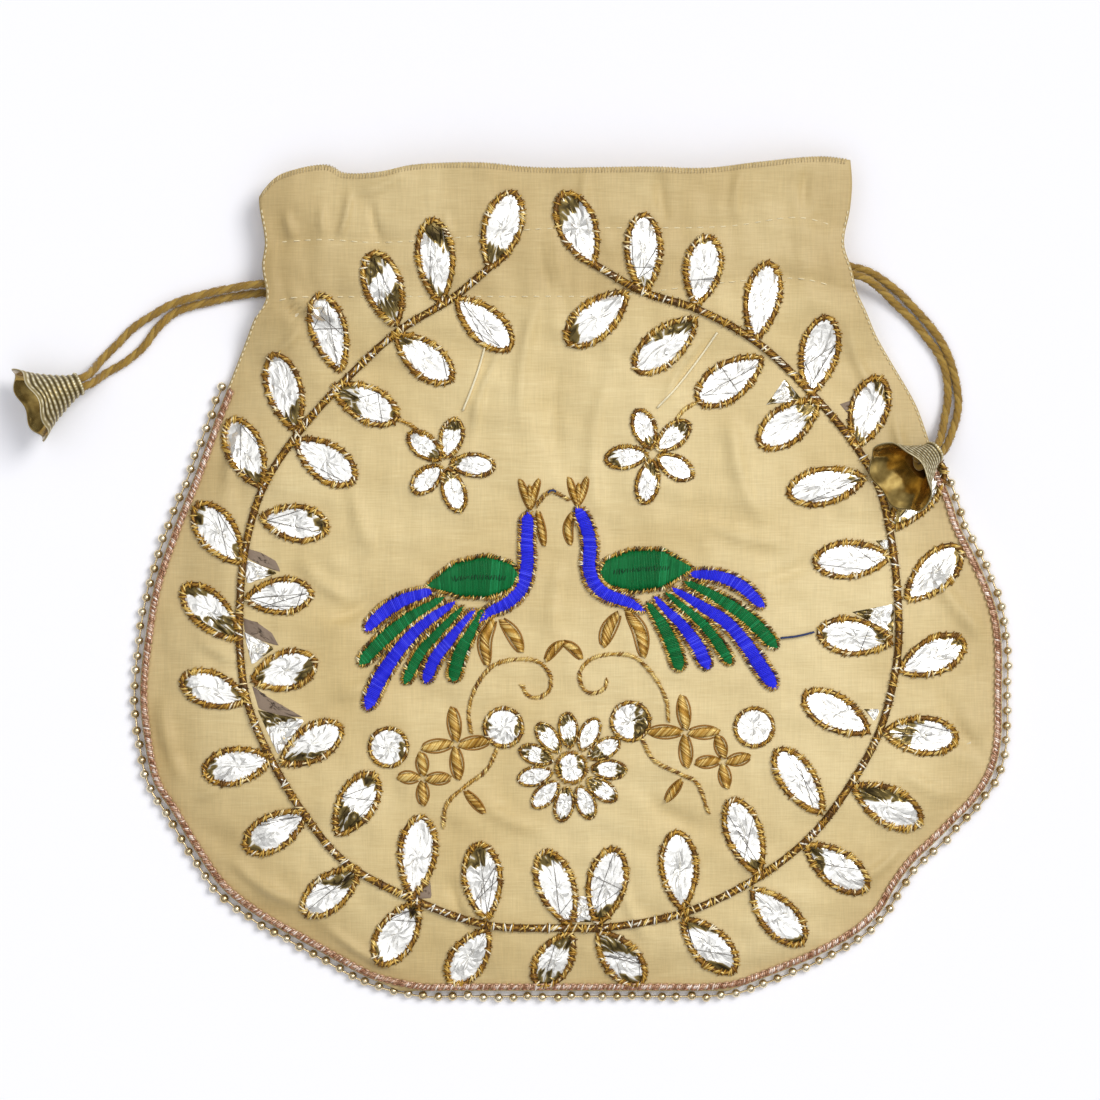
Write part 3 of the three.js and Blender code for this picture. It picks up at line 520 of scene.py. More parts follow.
def bumped(material, height, distance, strength=1.0):
    bump = new_node(material, "ShaderNodeBump")
    bump.inputs["Strength"].default_value = strength
    bump.inputs["Distance"].default_value = distance
    link(material, height, bump.inputs["Height"])
    link(material, bump.outputs["Normal"], shader_of(material).inputs["Normal"])


def grey(value):
    return (value, value, value)


def silk_material():
    """Dupion silk: slubs across the bag, fine warp, a slow change of shade, and painted shade towards the
    seams and on the mouth.
    """
    material = new_material("dupion_silk", linear(206, 186, 136), 0.55, Sheen_Weight=0.15)
    slub = stretched_noise(material, (190, 2900, 190), 4.0)
    warp = stretched_noise(material, (3200, 160, 400), 2.0)
    cloud = stretched_noise(material, (22, 26, 22), 2.0)
    shade = ramp(material, slub, [
        (0.28, linear(218, 196, 142)), (0.46, linear(224, 202, 148)), (0.60, linear(227, 206, 152)),
        (0.78, linear(233, 213, 161)),
    ])
    threads = ramp(material, warp, [(0.3, grey(0.93)), (0.7, grey(1.03))])
    slow = ramp(material, cloud, [(0.32, linear(238, 232, 218)), (0.66, grey(1.0))])
    # Painted shade: the silk is darker towards the seams and on the mouth, following the number each vertex
    # carries
    painted_shade = ramp(material, thread_tone(material), [(0.0, linear(218, 210, 196)), (1.0, grey(1.0))])
    cloud_and_painted_shade = multiplied(material, slow, painted_shade)
    coloured(material, multiplied(material, multiplied(material, shade, threads), cloud_and_painted_shade))
    bumped(material, slub, 0.00014, 0.4)
    return material


def lining_material():
    material = new_material("cotton_lining", linear(222, 208, 172), 0.8, Sheen_Weight=0.2)
    weave = stretched_noise(material, (1800, 1800, 1800), 2.0)
    shade = [(0.3, linear(205, 190, 152)), (0.7, linear(230, 217, 184))]
    coloured(material, ramp(material, weave, shade))
    bumped(material, weave, 0.0002, 0.5)
    return material


def thread_material(name, stops, roughness, metallic=0.0, sheen=0.0, **sockets):
    """Yarn whose stitches differ in shade, with fine twist lines."""
    material = new_material(name, stops[0][1], roughness, Metallic=metallic, Sheen_Weight=sheen, **sockets)
    coloured(material, ramp(material, thread_tone(material), stops))
    bumped(material, stretched_noise(material, (4200, 4200, 4200), 1.0), 0.00012, 0.5)
    return material


def foil_material():
    """Crumpled metal foil: bright, with painted dark olive reflections at its ends."""
    material = new_material("crumpled_foil", linear(252, 250, 242), 0.3, Metallic=0.75)
    # Painted reflection: the dark olive colours stand for dark surroundings seen in the foil
    colour = ramp(material, thread_tone(material), [
        (0.0, linear(58, 46, 18)), (0.22, linear(140, 120, 66)), (0.34, linear(253, 251, 244)),
    ])
    coloured(material, colour)
    bumped(material, stretched_noise(material, (700, 700, 700), 3.0), 0.0003, 0.45)
    return material


def bell_cloth_material():
    """Ribbed metal brocade with short bright dashes."""
    material = new_material("bell_brocade", linear(176, 156, 98), 0.42, Metallic=0.55)
    coloured(material, ramp(material, thread_tone(material), [
        (0.0, linear(74, 60, 26)), (0.4, linear(158, 140, 88)), (1.0, linear(244, 236, 204)),
    ]))
    bumped(material, stretched_noise(material, (2600, 2600, 2600), 2.0), 0.0002, 0.5)
    return material


def bell_inside_material():
    material = new_material("bell_inside", linear(140, 112, 54), 0.14, Metallic=0.95)
    shade = [(0.3, linear(132, 102, 44)), (0.7, linear(206, 176, 104))]
    coloured(material, ramp(material, stretched_noise(material, (320, 320, 320), 2.0), shade))
    bumped(material, stretched_noise(material, (260, 260, 260), 1.0), 0.0004, 0.15)
    return material


SILK = silk_material()
COTTON = lining_material()
FOIL = foil_material()
# The gold thread's shades differ at random from stitch to stitch; the near-white top of the ramp gives
# painted glints on single stitches, and the dark cores take their painted shade from near its dark brown foot
ANTIQUE_GOLD = thread_material("antique_gold_thread", [
    (0.0, linear(52, 30, 6)), (0.3, linear(142, 96, 24)), (0.62, linear(198, 152, 54)),
    (0.85, linear(236, 204, 118)), (1.0, linear(255, 250, 232)),
], 0.36, 0.35)
SCROLL_GOLD = thread_material("scroll_gold_thread", [
    (0.0, linear(116, 70, 12)), (0.4, linear(192, 144, 50)), (0.9, linear(246, 218, 138)),
], 0.36, 0.4)
BLUE_SATIN = thread_material("blue_satin", [
    (0.0, linear(30, 32, 214)), (0.8, linear(44, 48, 238)), (1.0, linear(74, 78, 250)),
], 0.55, Specular_IOR_Level=0.25)
GREEN_SATIN = thread_material("green_satin", [
    (0.0, linear(0, 96, 42)), (0.8, linear(2, 118, 58)), (1.0, linear(20, 136, 76)),
], 0.55, Specular_IOR_Level=0.25)
DARK_GREEN = thread_material("dark_green_thread", [(0.0, linear(0, 44, 16)), (1.0, linear(0, 74, 30))], 0.7)
CREAM_THREAD = thread_material("cream_thread", [
    (0.0, linear(216, 198, 150)), (1.0, linear(244, 232, 196)),
], 0.6)
HEM_THREAD = thread_material("hem_thread", [(0.0, linear(150, 126, 80)), (1.0, linear(228, 208, 160))], 0.6)
CORD_YARN = thread_material("olive_cord", [
    (0.0, linear(102, 74, 12)), (0.5, linear(152, 117, 32)), (1.0, linear(204, 172, 84)),
], 0.7, 0.0, 0.35)
BEAD_METAL = thread_material("bead_metal", [
    (0.0, linear(214, 190, 142)), (1.0, linear(250, 236, 204)),
], 0.22, 1.0)
ROSE_BRAID = thread_material("rose_gold_braid", [
    (0.0, linear(150, 98, 66)), (0.5, linear(214, 172, 140)), (1.0, linear(255, 240, 228)),
], 0.34, 0.4)
NAVY_THREAD = thread_material("navy_thread", [(0.0, linear(24, 40, 84)), (1.0, linear(40, 60, 110))], 0.6)
BACKING = thread_material("foil_backing", [(0.0, linear(120, 102, 86)), (1.0, linear(150, 130, 110))], 0.7)
BELL_CLOTH = bell_cloth_material()
BELL_INSIDE = bell_inside_material()


def placed(obj, finish, *nodes):
    """Fixes a piece to the root body and lets it stand for CAD nodes."""
    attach(obj, "root")
    if nodes:
        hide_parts(*nodes)
    return obj


# Camera straight above the flat-laid bag
def add_camera():
    data = bpy.data.cameras.new("camera")
    data.sensor_width = 36.0
    data.lens = data.sensor_width * (CAMERA_HEIGHT_MM - SHARP_HEIGHT_MM) / (PHOTO_WIDTH_PX * MM_PER_PX)
    camera = bpy.data.objects.new("camera", data)
    x, y = on_bag(PHOTO_MIDDLE_PX)
    camera.location = Vector((x, y, CAMERA_HEIGHT_MM)) * MM
    bpy.context.scene.collection.objects.link(camera)
    bpy.context.scene.camera = camera


add_camera()


# Cloth pieces of the bag
def cloth_plan(low_line, high_line, columns, rows, inset=0.0):
    """Grid of plan points between two lines of height, from side seam to side seam."""
    share = np.linspace(0, 1, columns)[None]
    climb = np.linspace(0, 1, rows)[:, None]
    guess = np.broadcast_to(climb, (rows, columns))
    y = low_line(0 * share) + (high_line(0 * share) - low_line(0 * share)) * guess
    for _ in range(4):
        x = left_x(y) + inset + (right_x(y) - left_x(y) - 2 * inset) * share
        y = low_line(x) + (high_line(x) - low_line(x)) * guess
    return x, y


def painted_edge_shade(x, y):
    """Painted shade: 1 in the middle of the front, less towards the seams and on the mouth, where the cloth
    is painted darker.
    """
    from_left = ease(0, 34, x - left_x(y))
    from_right = ease(0, 24, right_x(y) - x)
    from_bottom = ease(-4, 26, y - BOTTOM)
    mouth = 1 - 0.45 * ease(-6, 4, y - line_height(LOWER_STITCH, x))
    return (0.25 + 0.75 * from_left) * (0.5 + 0.5 * from_right) * (0.6 + 0.4 * from_bottom) * mouth


def two_sided(name, x, y, top, thickness, material):
    """Closed cloth from a grid of points: a top face, a bottom face and a rim."""
    rows, columns = x.shape
    upper = np.stack([x, y, top], -1).reshape(-1, 3)
    lower = np.stack([x, y, top - thickness], -1).reshape(-1, 3)
    index = np.arange(rows * columns).reshape(rows, columns)
    a, b, c, d = index[:-1, :-1], index[:-1, 1:], index[1:, 1:], index[1:, :-1]
    face = np.stack([a, b, c, d], -1).reshape(-1, 4)
    under = face[:, ::-1] + rows * columns
    rim = np.concatenate([index[0, :], index[1:, -1], index[-1, -2::-1], index[-2:0:-1, 0]])
    following = np.roll(rim, -1)
    wall = np.stack([rim, rim + rows * columns, following + rows * columns, following], -1)
    faces = np.concatenate([face, under, wall])
    # The tone carries painted shade: darker towards the seams and on the mouth
    tone = np.tile(painted_edge_shade(x, y).reshape(-1), 2)
    return new_object(name, np.concatenate([upper, lower]), faces, [material], tone=tone)


# The facing ends this far below the lower stitch line; the header stands open this far above the upper one
FACING_BELOW_STITCH = 3.0
FRONT_FLARE_REACH = 22
BACK_FLARE_REACH = 20
# The back lies this far above the floor
BACK_CLEARANCE = 0.03


def bottom_line(x):
    return np.full_like(np.asarray(x, float), BOTTOM)


def top_line(x):
    return line_height(TOP_LINE, x)


def facing_end_line(x):
    return line_height(LOWER_STITCH, x) - FACING_BELOW_STITCH


def lining_top_line(x):
    return facing_end_line(x) - LAYER_GAP


def facing_depth(x, y):
    """How far the folded-in hem lies behind the outer face; it bulges round the cords in the casing."""
    upper = y - line_height(UPPER_STITCH, x)
    lower = y - line_height(LOWER_STITCH, x)
    in_casing = ease(0, 3, -upper) * ease(0, 3, lower)
    return FABRIC + CHANNEL * in_casing


def header_flare(x, y):
    """The frill above the casing stands a little open in waves."""
    above = ease(0, FRONT_FLARE_REACH, y - line_height(UPPER_STITCH, x))
    return above * (0.5 * np.sin(x / 7.5) + 0.35 * np.sin(x / 3.9 + 1.2))


def front_face(x, y):
    return front_height(x, y) + header_flare(x, y)


def back_face(x, y):
    above = ease(0, BACK_FLARE_REACH, y - line_height(UPPER_STITCH, x))
    return BACK_CLEARANCE + above * 0.35 * (1 + np.sin(x / 8.3 + 0.7))


# Points across and along each cloth; the hidden and flat ones need fewer
FRONT_GRID = (172, 172)
BACK_GRID = (84, 84)
FACING_GRID = (96, 26)
LINING_GRID = (72, 72)
# How far the facing and the lining stop short of the outer cloth's edge
FACING_INSET = 0.3
FACING_DROP = 0.2
LINING_INSET = 0.6


def hem_line(x):
    return top_line(x) - FACING_DROP


def lining_foot_line(x):
    return bottom_line(x) + LINING_INSET


def add_sheet(name, node, plan, top, flat):
    """One silk or lining cloth; flat tells the lining from the silk."""
    is_lining = flat is LINING_FLAT
    thickness, material, finish = (LINING, COTTON, "lining") if is_lining else (FABRIC, SILK, "silk")
    cloth = placed(two_sided(name, *plan, top, thickness, material), finish, *node)


def add_cloth():
    plan = cloth_plan(bottom_line, top_line, *FRONT_GRID)
    add_sheet("front_cloth", ["front_panel"], plan, front_face(*plan), SILK_FLAT)
    plan = cloth_plan(bottom_line, top_line, *BACK_GRID)
    add_sheet("back_cloth", ["back_panel"], plan, back_face(*plan) + FABRIC, SILK_FLAT)

    plan = cloth_plan(facing_end_line, hem_line, *FACING_GRID, FACING_INSET)
    inner = front_face(*plan) - facing_depth(*plan)
    add_sheet("front_facing", [], plan, inner, FACING_FLAT)
    behind = back_face(*plan) + FABRIC + facing_depth(*plan)
    add_sheet("back_facing", [], plan, behind, FACING_FLAT)

    plan = cloth_plan(lining_foot_line, lining_top_line, *LINING_GRID, LINING_INSET)
    depth = FABRIC + LAYER_GAP
    inside = front_face(*plan) - depth
    add_sheet("front_lining_cloth", ["front_lining"], plan, inside, LINING_FLAT)
    level = np.full_like(plan[0], depth + LINING)
    add_sheet("back_lining_cloth", ["back_lining"], plan, level, LINING_FLAT)


# One overcast stitch: along the mouth, down from its edge, and out from the face of the cloth
OVERCAST_LEAN = np.linspace(0, 0.9, 6)
OVERCAST_DROP = np.array([-1.3, -0.5, 0.12, 0.12, -0.5, -1.2])
OVERCAST_RISE = np.array([0.14, 0.2, 0.1, -1.0, -1.35, -1.3])
OVERCAST_PITCH = 0.8
OVERCAST_RADIUS = 0.14
OVERCAST_LOWEST = 0.2
CASING_DASH = {"length": 2.1, "gap": 0.9, "radius": 0.2, "lift": 0.06, "tone": 0.45}
SIDE_DASH = {"length": 0.9, "gap": 0.7, "radius": 0.22, "lift": 0.08, "tone": 0.55}
# The sides are stitched from the beads to this height, this far in from the edge
SIDE_DASH_TOP = CASING_FOOT + 24
SIDE_DASH_INSET = 0.5


def add_casing_stitches():
    """Both running-stitch lines of the casing, and the overcast edge of the mouth on front and back."""
    rng = np.random.default_rng(SEED)
    stitching = Stitching()
    for line in (UPPER_STITCH[4:-4], LOWER_STITCH[4:-4]):
        dashes(stitching, line, **CASING_DASH)
    for edge_x, end_pixel, inward in ((left_x, BEADS_LEFT_PX, 1), (right_x, BEADS_RIGHT_PX, -1)):
        heights = np.arange(on_bag(end_pixel)[1], SIDE_DASH_TOP, 1.0)
        side_edge = np.stack([edge_x(heights) + inward * SIDE_DASH_INSET, heights], -1)
        dashes(stitching, side_edge, **SIDE_DASH)
    placed(stitching.build("casing_stitches", [CREAM_THREAD]), "silk")

    edge = resampled(TOP_LINE, OVERCAST_PITCH)[2:-2]
    overcast = Stitching()
    for face, outside in ((front_face, 0), (back_face, FABRIC)):
        base = face(edge[:, 0], edge[:, 1] - 0.4) + outside
        points = np.stack([
            edge[:, :1] + OVERCAST_LEAN, edge[:, 1:] + OVERCAST_DROP, base[:, None] + OVERCAST_RISE,
        ], -1)
        points = np.maximum(points, (-math.inf, -math.inf, OVERCAST_LOWEST))
        overcast.tubes(points, OVERCAST_RADIUS, 4, rng.uniform(0.4, 1, len(edge)))
    placed(overcast.build("mouth_overcast", [HEM_THREAD]), "silk")


# Bead edging and braid round the seam
BEAD_DIAMETER = 2.35
BEAD_PITCH = 3.9
BEAD_STRING_RADIUS = 0.28
BEAD_CLEARANCE = 0.35
BRAID_WIDTH = 1.9
BRAID_CLEARANCE = 0.15
# Places of the braid's two edge threads, as shares of its width from its middle
BRAID_EDGES = (-0.36, 0.36)
BRAID_DASH = {"length": 1.6, "gap": 0.5, "radius": 0.24, "lift": 0.75}


def seam_line(left_end_y, right_end_y):
    """Plan line of the seam from the left end of the beads round the bottom to the right end."""
    down = np.arange(left_end_y, BOTTOM + 1, -2.0)
    up = np.arange(BOTTOM + 1, right_end_y, 2.0)
    left = np.stack([left_x(down), down], -1)
    right = np.stack([right_x(up), up], -1)
    bottom_x = np.linspace(left_x(BOTTOM) + 6, right_x(BOTTOM) - 6, 12)
    bottom = np.stack([bottom_x, np.full(12, BOTTOM)], -1)
    return smooth(np.concatenate([left, bottom, right]), 0.5)


def ball(segments=12, rings=8):
    """Unit sphere: vertices and four-sided faces."""
    polar = np.linspace(0.05, math.pi - 0.05, rings)
    turn = np.linspace(0, 2 * math.pi, segments, endpoint=False)
    vertices = np.stack([
        np.sin(polar)[:, None] * np.cos(turn), np.sin(polar)[:, None] * np.sin(turn),
        np.broadcast_to(np.cos(polar)[:, None], (rings, segments)),
    ], -1).reshape(-1, 3)
    return vertices, wrapped_faces(np.arange(rings * segments).reshape(rings, segments))


def add_edging():
    rng = np.random.default_rng(SEED + 2)
    seam = seam_line(on_bag(BEADS_LEFT_PX)[1], on_bag(BEADS_RIGHT_PX)[1])
    _, left = left_of(seam)
    outside = seam - left * (BEAD_DIAMETER / 2 + BEAD_CLEARANCE)
    height = SEAM_STACK / 2
    spots = resampled(outside, BEAD_PITCH)
    spots = spots + rng.normal(0, 0.16, spots.shape)
    vertices, faces = ball()
    beads = Stitching()
    for spot in spots:
        radius = BEAD_DIAMETER / 2 * rng.uniform(0.95, 1.05)
        squeezed = vertices * (radius, radius, radius * 0.96) + (*spot, height + rng.normal(0, 0.08))
        beads.add(squeezed, faces, np.full(len(vertices), rng.uniform(0, 1)))
    string = np.column_stack([outside, np.full(len(outside), height)])[None]
    beads.tubes(string, BEAD_STRING_RADIUS, 5, 0.2)
    placed(beads.build("bead_string", [BEAD_METAL]), "bead", "bead_edging")

    middle = BRAID_WIDTH / 2 + BRAID_CLEARANCE
    braid = Stitching()
    slanted_stitches(braid, resampled(seam + left * middle, 0.55), rng, BRAID_WIDTH, 0.3, 0.35, 1.05)
    for offset in BRAID_EDGES:
        edge_line = resampled(seam + left * (middle + offset * BRAID_WIDTH), 0.5)
        dashes(braid, edge_line, tone=rng.uniform(0, 1), **BRAID_DASH)
    placed(braid.build("gimp_braid", [ROSE_BRAID]), "braid", "edge_braid")


# Drawcords: runs in the casing, free ends and bells, in millimetres of the bag
# Height of the run in the front and in the back casing, for the left cord (-1) and the right one (1)
RUN_HEIGHTS = {-1: (76.8, 74.5), 1: (79.4, 81.6)}
RUN_POINTS = 12
TURN_INSET = 5.8
# Lowest centre line of a cord on the floor
CORD_REST = 1.25
# Shares of the cord's diameter: how far a ply winds out, its radius, and where the fibres start
PLY_REACH = 0.2
PLY_RADIUS = 0.31
FIBRE_START = 0.46
STRAND_OFFSET = CORD_DIAMETER / 2 + LAYER_GAP / 4
KNOT_SEAT = 4.4
KNOT_DIAMETER = 5.8
# Shares of the knot's diameter: how far the cord winds out and rises; then its radius as a share of the cord
KNOT_WIND = 0.30
KNOT_RISE = 0.26
KNOT_YARN = 0.42
# Places on the bell's axis, from its neck, that a strand passes on its way in
INTO_BELL = (-3.0, -0.5, 1.2)
BELL_LENGTH = 15.0
BELL_MOUTH = 19.5
BELL_NECK = 6.0
BELL_COLLAR = 1.5
BELL_WALL = 0.5
PETAL_COUNT = 6
PETAL_TIP = 1.2
RIB_PITCH = 1.5
DASHES_ROUND = 26
BELL_MESH = {"spokes": 84, "rows": 72}
# Nothing of a bell goes under the floor
BELL_LOWEST = 0.02
LEFT_BELL = {"heading": (-0.916, -0.4), "tilt": math.radians(15), "lift": 2.8}
RIGHT_BELL = {"heading": (-0.81, -0.59), "tilt": math.radians(38), "lift": 0.0}
LEFT_FRONT_END = [
    (-84.5, 76.3, 5.0), (-89, 75.5, 3.7), (-94, 74.5, 3.2), (-104, 71.5, 3.1), (-109.5, 68.4, 2.2),
    (-114, 65.5, 1.2), (-118.5, 61, 1.2), (-122.5, 57, 1.2),
]
LEFT_BACK_END = [
    (-85, 74.0, 1.6), (-94, 72.2, 1.2), (-103, 69.5, 1.2), (-108, 65.2, 1.2), (-111.5, 60.5, 1.2),
    (-116.5, 56.3, 1.2), (-121.5, 53.4, 1.2),
]
RIGHT_FRONT_END = [
    (76.5, 78.2, 5.2), (80.5, 75.4, 3.4), (84.4, 71.6, 1.8), (89, 67.2, 1.25), (92.8, 62.5, 1.25),
    (96, 58, 1.25), (97.8, 52.8, 1.25), (98.1, 46.7, 1.4), (97.2, 41.4, 2.3),
]
RIGHT_BACK_END = [
    (77.5, 80.0, 1.7), (84.4, 75.4, 1.25), (89.6, 70.2, 1.25), (94.2, 65, 1.25), (97.5, 59.8, 1.25),
    (99.2, 55.4, 1.25), (100.4, 50.6, 1.25), (100.9, 45.6, 1.4), (100, 40.6, 2.3),
]


def bell_frame(bell, knot_node):
    """Neck point, axis and two cross directions of a bell, placed by its knot in the CAD model."""
    low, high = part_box(knot_node)
    knot = (np.array(low) + np.array(high)) / 2 / MM
    flat = math.cos(bell["tilt"])
    axis = np.array([bell["heading"][0] * flat, bell["heading"][1] * flat, math.sin(bell["tilt"])])
    axis /= np.linalg.norm(axis)
    sideways = np.array([-axis[1], axis[0], 0])
    sideways /= np.linalg.norm(sideways)
    neck = knot - KNOT_SEAT * axis + np.array([0, 0, bell["lift"]])
    return neck, axis, sideways, np.cross(axis, sideways)


def free_end(frame_of_bell, points, sign):
    """Line of a free strand from the side slot into the neck of its bell."""
    neck, axis, sideways, _ = frame_of_bell
    in_bell = [neck + axis * s + sideways * sign * STRAND_OFFSET for s in INTO_BELL]
    line = smooth(np.concatenate([np.array(points, float), in_bell]), 0.4)
    return np.maximum(line, (-math.inf, -math.inf, CORD_REST))


def casing_run(side):
    """Line of a drawcord inside the casing: along the front, round the far side, back along the back."""
    front_y, back_y = RUN_HEIGHTS[side]
    depth = FABRIC + CHANNEL / 2
    near_edge, far_edge = (left_x, right_x) if side < 0 else (right_x, left_x)
    far = far_edge(CASING_TOP) + side * TURN_INSET
    forth = np.linspace(near_edge(front_y) - side, far, RUN_POINTS)
    level = np.full(RUN_POINTS, front_y)
    front = np.stack([forth, level, swell(forth, level) - depth], -1)
    home = np.linspace(far, near_edge(back_y) - side, RUN_POINTS)
    back = np.stack([home, np.full(RUN_POINTS, back_y), np.full(RUN_POINTS, depth)], -1)
    middle = (front[-1] + back[0]) / 2
    half = front[-1] - middle
    outward = np.array([-side * np.linalg.norm(half), 0, 0])
    turn = [middle + half * math.cos(a) + outward * math.sin(a) for a in np.linspace(0, math.pi, 9)[1:-1]]
    return front, np.array(turn), back


def twisted_cord(line, rng, fibres=5, plies=3, pitch=7.5):
    """Plies laid round a centre line, with short fibres standing off them."""
    reach = CORD_DIAMETER * PLY_REACH
    along = np.gradient(line, axis=0)
    along /= np.linalg.norm(along, axis=1, keepdims=True)
    side = np.cross(along, (0, 0, 1))
    side /= np.linalg.norm(side, axis=1, keepdims=True)
    up = np.cross(side, along)
    travelled = np.concatenate([[0], np.cumsum(np.linalg.norm(np.diff(line, axis=0), axis=1))])
    stitching = Stitching()
    for ply in range(plies):
        turn = 2 * math.pi * (travelled / pitch + ply / plies)
        strand = line + reach * (side * np.cos(turn)[:, None] + up * np.sin(turn)[:, None])
        stitching.tubes(strand[None], CORD_DIAMETER * PLY_RADIUS, 8, 0.38 + 0.12 * ply)
    picks = rng.integers(1, len(line) - 1, len(line) * fibres)
    angle = rng.uniform(0, 2 * math.pi, len(picks))
    out = side[picks] * np.cos(angle)[:, None] + up[picks] * np.sin(angle)[:, None]
    start = line[picks] + out * CORD_DIAMETER * FIBRE_START
    lean = along[picks] * rng.uniform(-0.5, 0.5, (len(picks), 1))
    hairs = np.stack([start, start + (out * 0.14 + lean * 0.4), start + (out * 0.2 + lean)], 1)
    stitching.tubes(hairs, 0.05, 3, rng.uniform(0.3, 1, len(picks)))
    return stitching


def bell_radius(s):
    share = np.clip((s - BELL_COLLAR) / (BELL_LENGTH - BELL_COLLAR), 0, 1)
    return BELL_NECK / 2 + (BELL_MOUTH - BELL_NECK) / 2 * share**1.15


def bell_cone(name, frame_of_bell, node):
    """Ribbed brocade cone with rows of dashes, a rolled petal lip and a shiny inside."""
    neck, axis, sideways, cross = frame_of_bell
    spokes, rows = BELL_MESH["spokes"], BELL_MESH["rows"]
    spoke = np.linspace(0, 2 * math.pi, spokes, endpoint=False)[None]
    s = np.linspace(0, BELL_LENGTH, rows)[:, None]
    near_lip = ease(0.6 * BELL_LENGTH, BELL_LENGTH, s)
    petal = (np.cos(PETAL_COUNT * spoke) - 1) / 2
    rib = np.sin(2 * math.pi * s / RIB_PITCH)
    dash = (np.sin(DASHES_ROUND * spoke + 2.2 * np.floor(s / RIB_PITCH)) > 0.1) * np.clip(rib, 0, 1)
    length = s + near_lip * PETAL_TIP * petal
    roll = 0.55 * ease(0.9 * BELL_LENGTH, BELL_LENGTH, s) * (1 + 0.6 * petal)
    dents = 0.12 * near_lip * np.sin(2 * spoke + 0.8) + 0.04 * np.sin(3 * spoke + s / 3)
    outer_radius = bell_radius(s) + 0.12 * rib + 0.1 * dash + roll + dents
    inner_radius = bell_radius(s) - BELL_WALL + roll + dents
    around = sideways * np.cos(spoke)[..., None] + cross * np.sin(spoke)[..., None]
    shells = []
    for radius in (outer_radius, inner_radius):
        points = (neck + axis * length[..., None] + around * radius[..., None]).reshape(-1, 3)
        shells.append(np.maximum(points, (-math.inf, -math.inf, BELL_LOWEST)))
    index = np.arange(rows * spokes).reshape(rows, spokes)
    skin = wrapped_faces(index)[:, [0, 3, 2, 1]]
    hollow = skin[:, ::-1] + rows * spokes
    rims = []
    for row, turned in ((0, False), (rows - 1, True)):
        both = np.stack([index[row], index[row] + rows * spokes])
        wall = wrapped_faces(both)
        rims.append(wall[:, ::-1] if turned else wall)
    faces = np.concatenate([skin, hollow, *rims])
    which = np.concatenate([np.zeros(len(skin)), np.ones(len(hollow)), np.zeros(2 * spokes)]).astype(int)
    lip = ease(0.93 * BELL_LENGTH, BELL_LENGTH, s)
    # Painted shade: the rib term makes the brocade lighter on the rib crests and darker in the grooves
    # between them
    tone = np.clip(0.28 + 0.3 * rib + 0.5 * dash + 0.6 * lip, 0, 1)
    tones = np.concatenate([tone.reshape(-1), np.zeros(rows * spokes)])
    bell = new_object(name, np.concatenate(shells), faces, [BELL_CLOTH, BELL_INSIDE], which, tones)
    return placed(bell, "bell", node)


def end_knot(name, frame_of_bell, node):
    """Overhand knot in the neck of the bell: one cord wound over itself."""
    neck, axis, sideways, cross = frame_of_bell
    t = np.linspace(0, 2 * math.pi, 120)[:, None]
    radius = KNOT_WIND * KNOT_DIAMETER * (1 + 0.38 * np.cos(1.5 * 2 * t))
    wind = sideways * np.cos(2 * t) * radius + cross * np.sin(2 * t) * radius
    line = neck + axis * KNOT_SEAT + wind + axis * KNOT_RISE * KNOT_DIAMETER * np.sin(3 * t)
    stitching = Stitching()
    stitching.tubes(line[None], CORD_DIAMETER * KNOT_YARN, 8, 0.5)
    return placed(stitching.build(name, [CORD_YARN]), "cord", node)


def add_drawcord(word, side, bell, front_points, back_points):
    rng = np.random.default_rng(SEED + 3 + side)
    frame_of_bell = bell_frame(bell, word + "_bell_knot")
    cone = bell_cone(word + "_bell_cone", frame_of_bell, word + "_bell")
    knot = end_knot(word + "_cord_knot", frame_of_bell, word + "_bell_knot")
    front_run, turn, back_run = casing_run(side)
    front_line = free_end(frame_of_bell, [front_run[0]] + front_points, -1)
    back_line = free_end(frame_of_bell, [back_run[-1]] + back_points, 1)
    hidden = smooth(np.concatenate([front_run, turn, back_run]), 1.2)
    run = twisted_cord(hidden, rng, 1).build(word + "_casing_cord", [CORD_YARN])
    placed(run, "cord", word + "_drawcord")
    ends = (("front", front_line, "fitting", [cone, knot]), ("back", back_line, "knot", []))
    for which, line, far_end, pieces in ends:
        strand = placed(twisted_cord(line, rng).build(f"{word}_{which}_cord_end", [CORD_YARN]), "cord")


# Embroidery in photo pixels
VINE_PX = [
    (490, 268), (455, 297), (397, 333), (338, 388), (296, 436), (262, 490), (245, 550), (240, 600),
    (240, 650), (247, 700), (270, 757), (305, 815), (345, 862), (415, 900), (487, 925), (570, 928),
    (600, 928), (683, 913), (757, 878), (812, 835), (850, 785), (880, 730), (897, 660), (898, 600),
    (890, 530), (878, 485), (855, 445), (813, 395), (757, 343), (697, 310), (642, 292), (592, 264),
]
LEAF_WIDTH_PX = 42
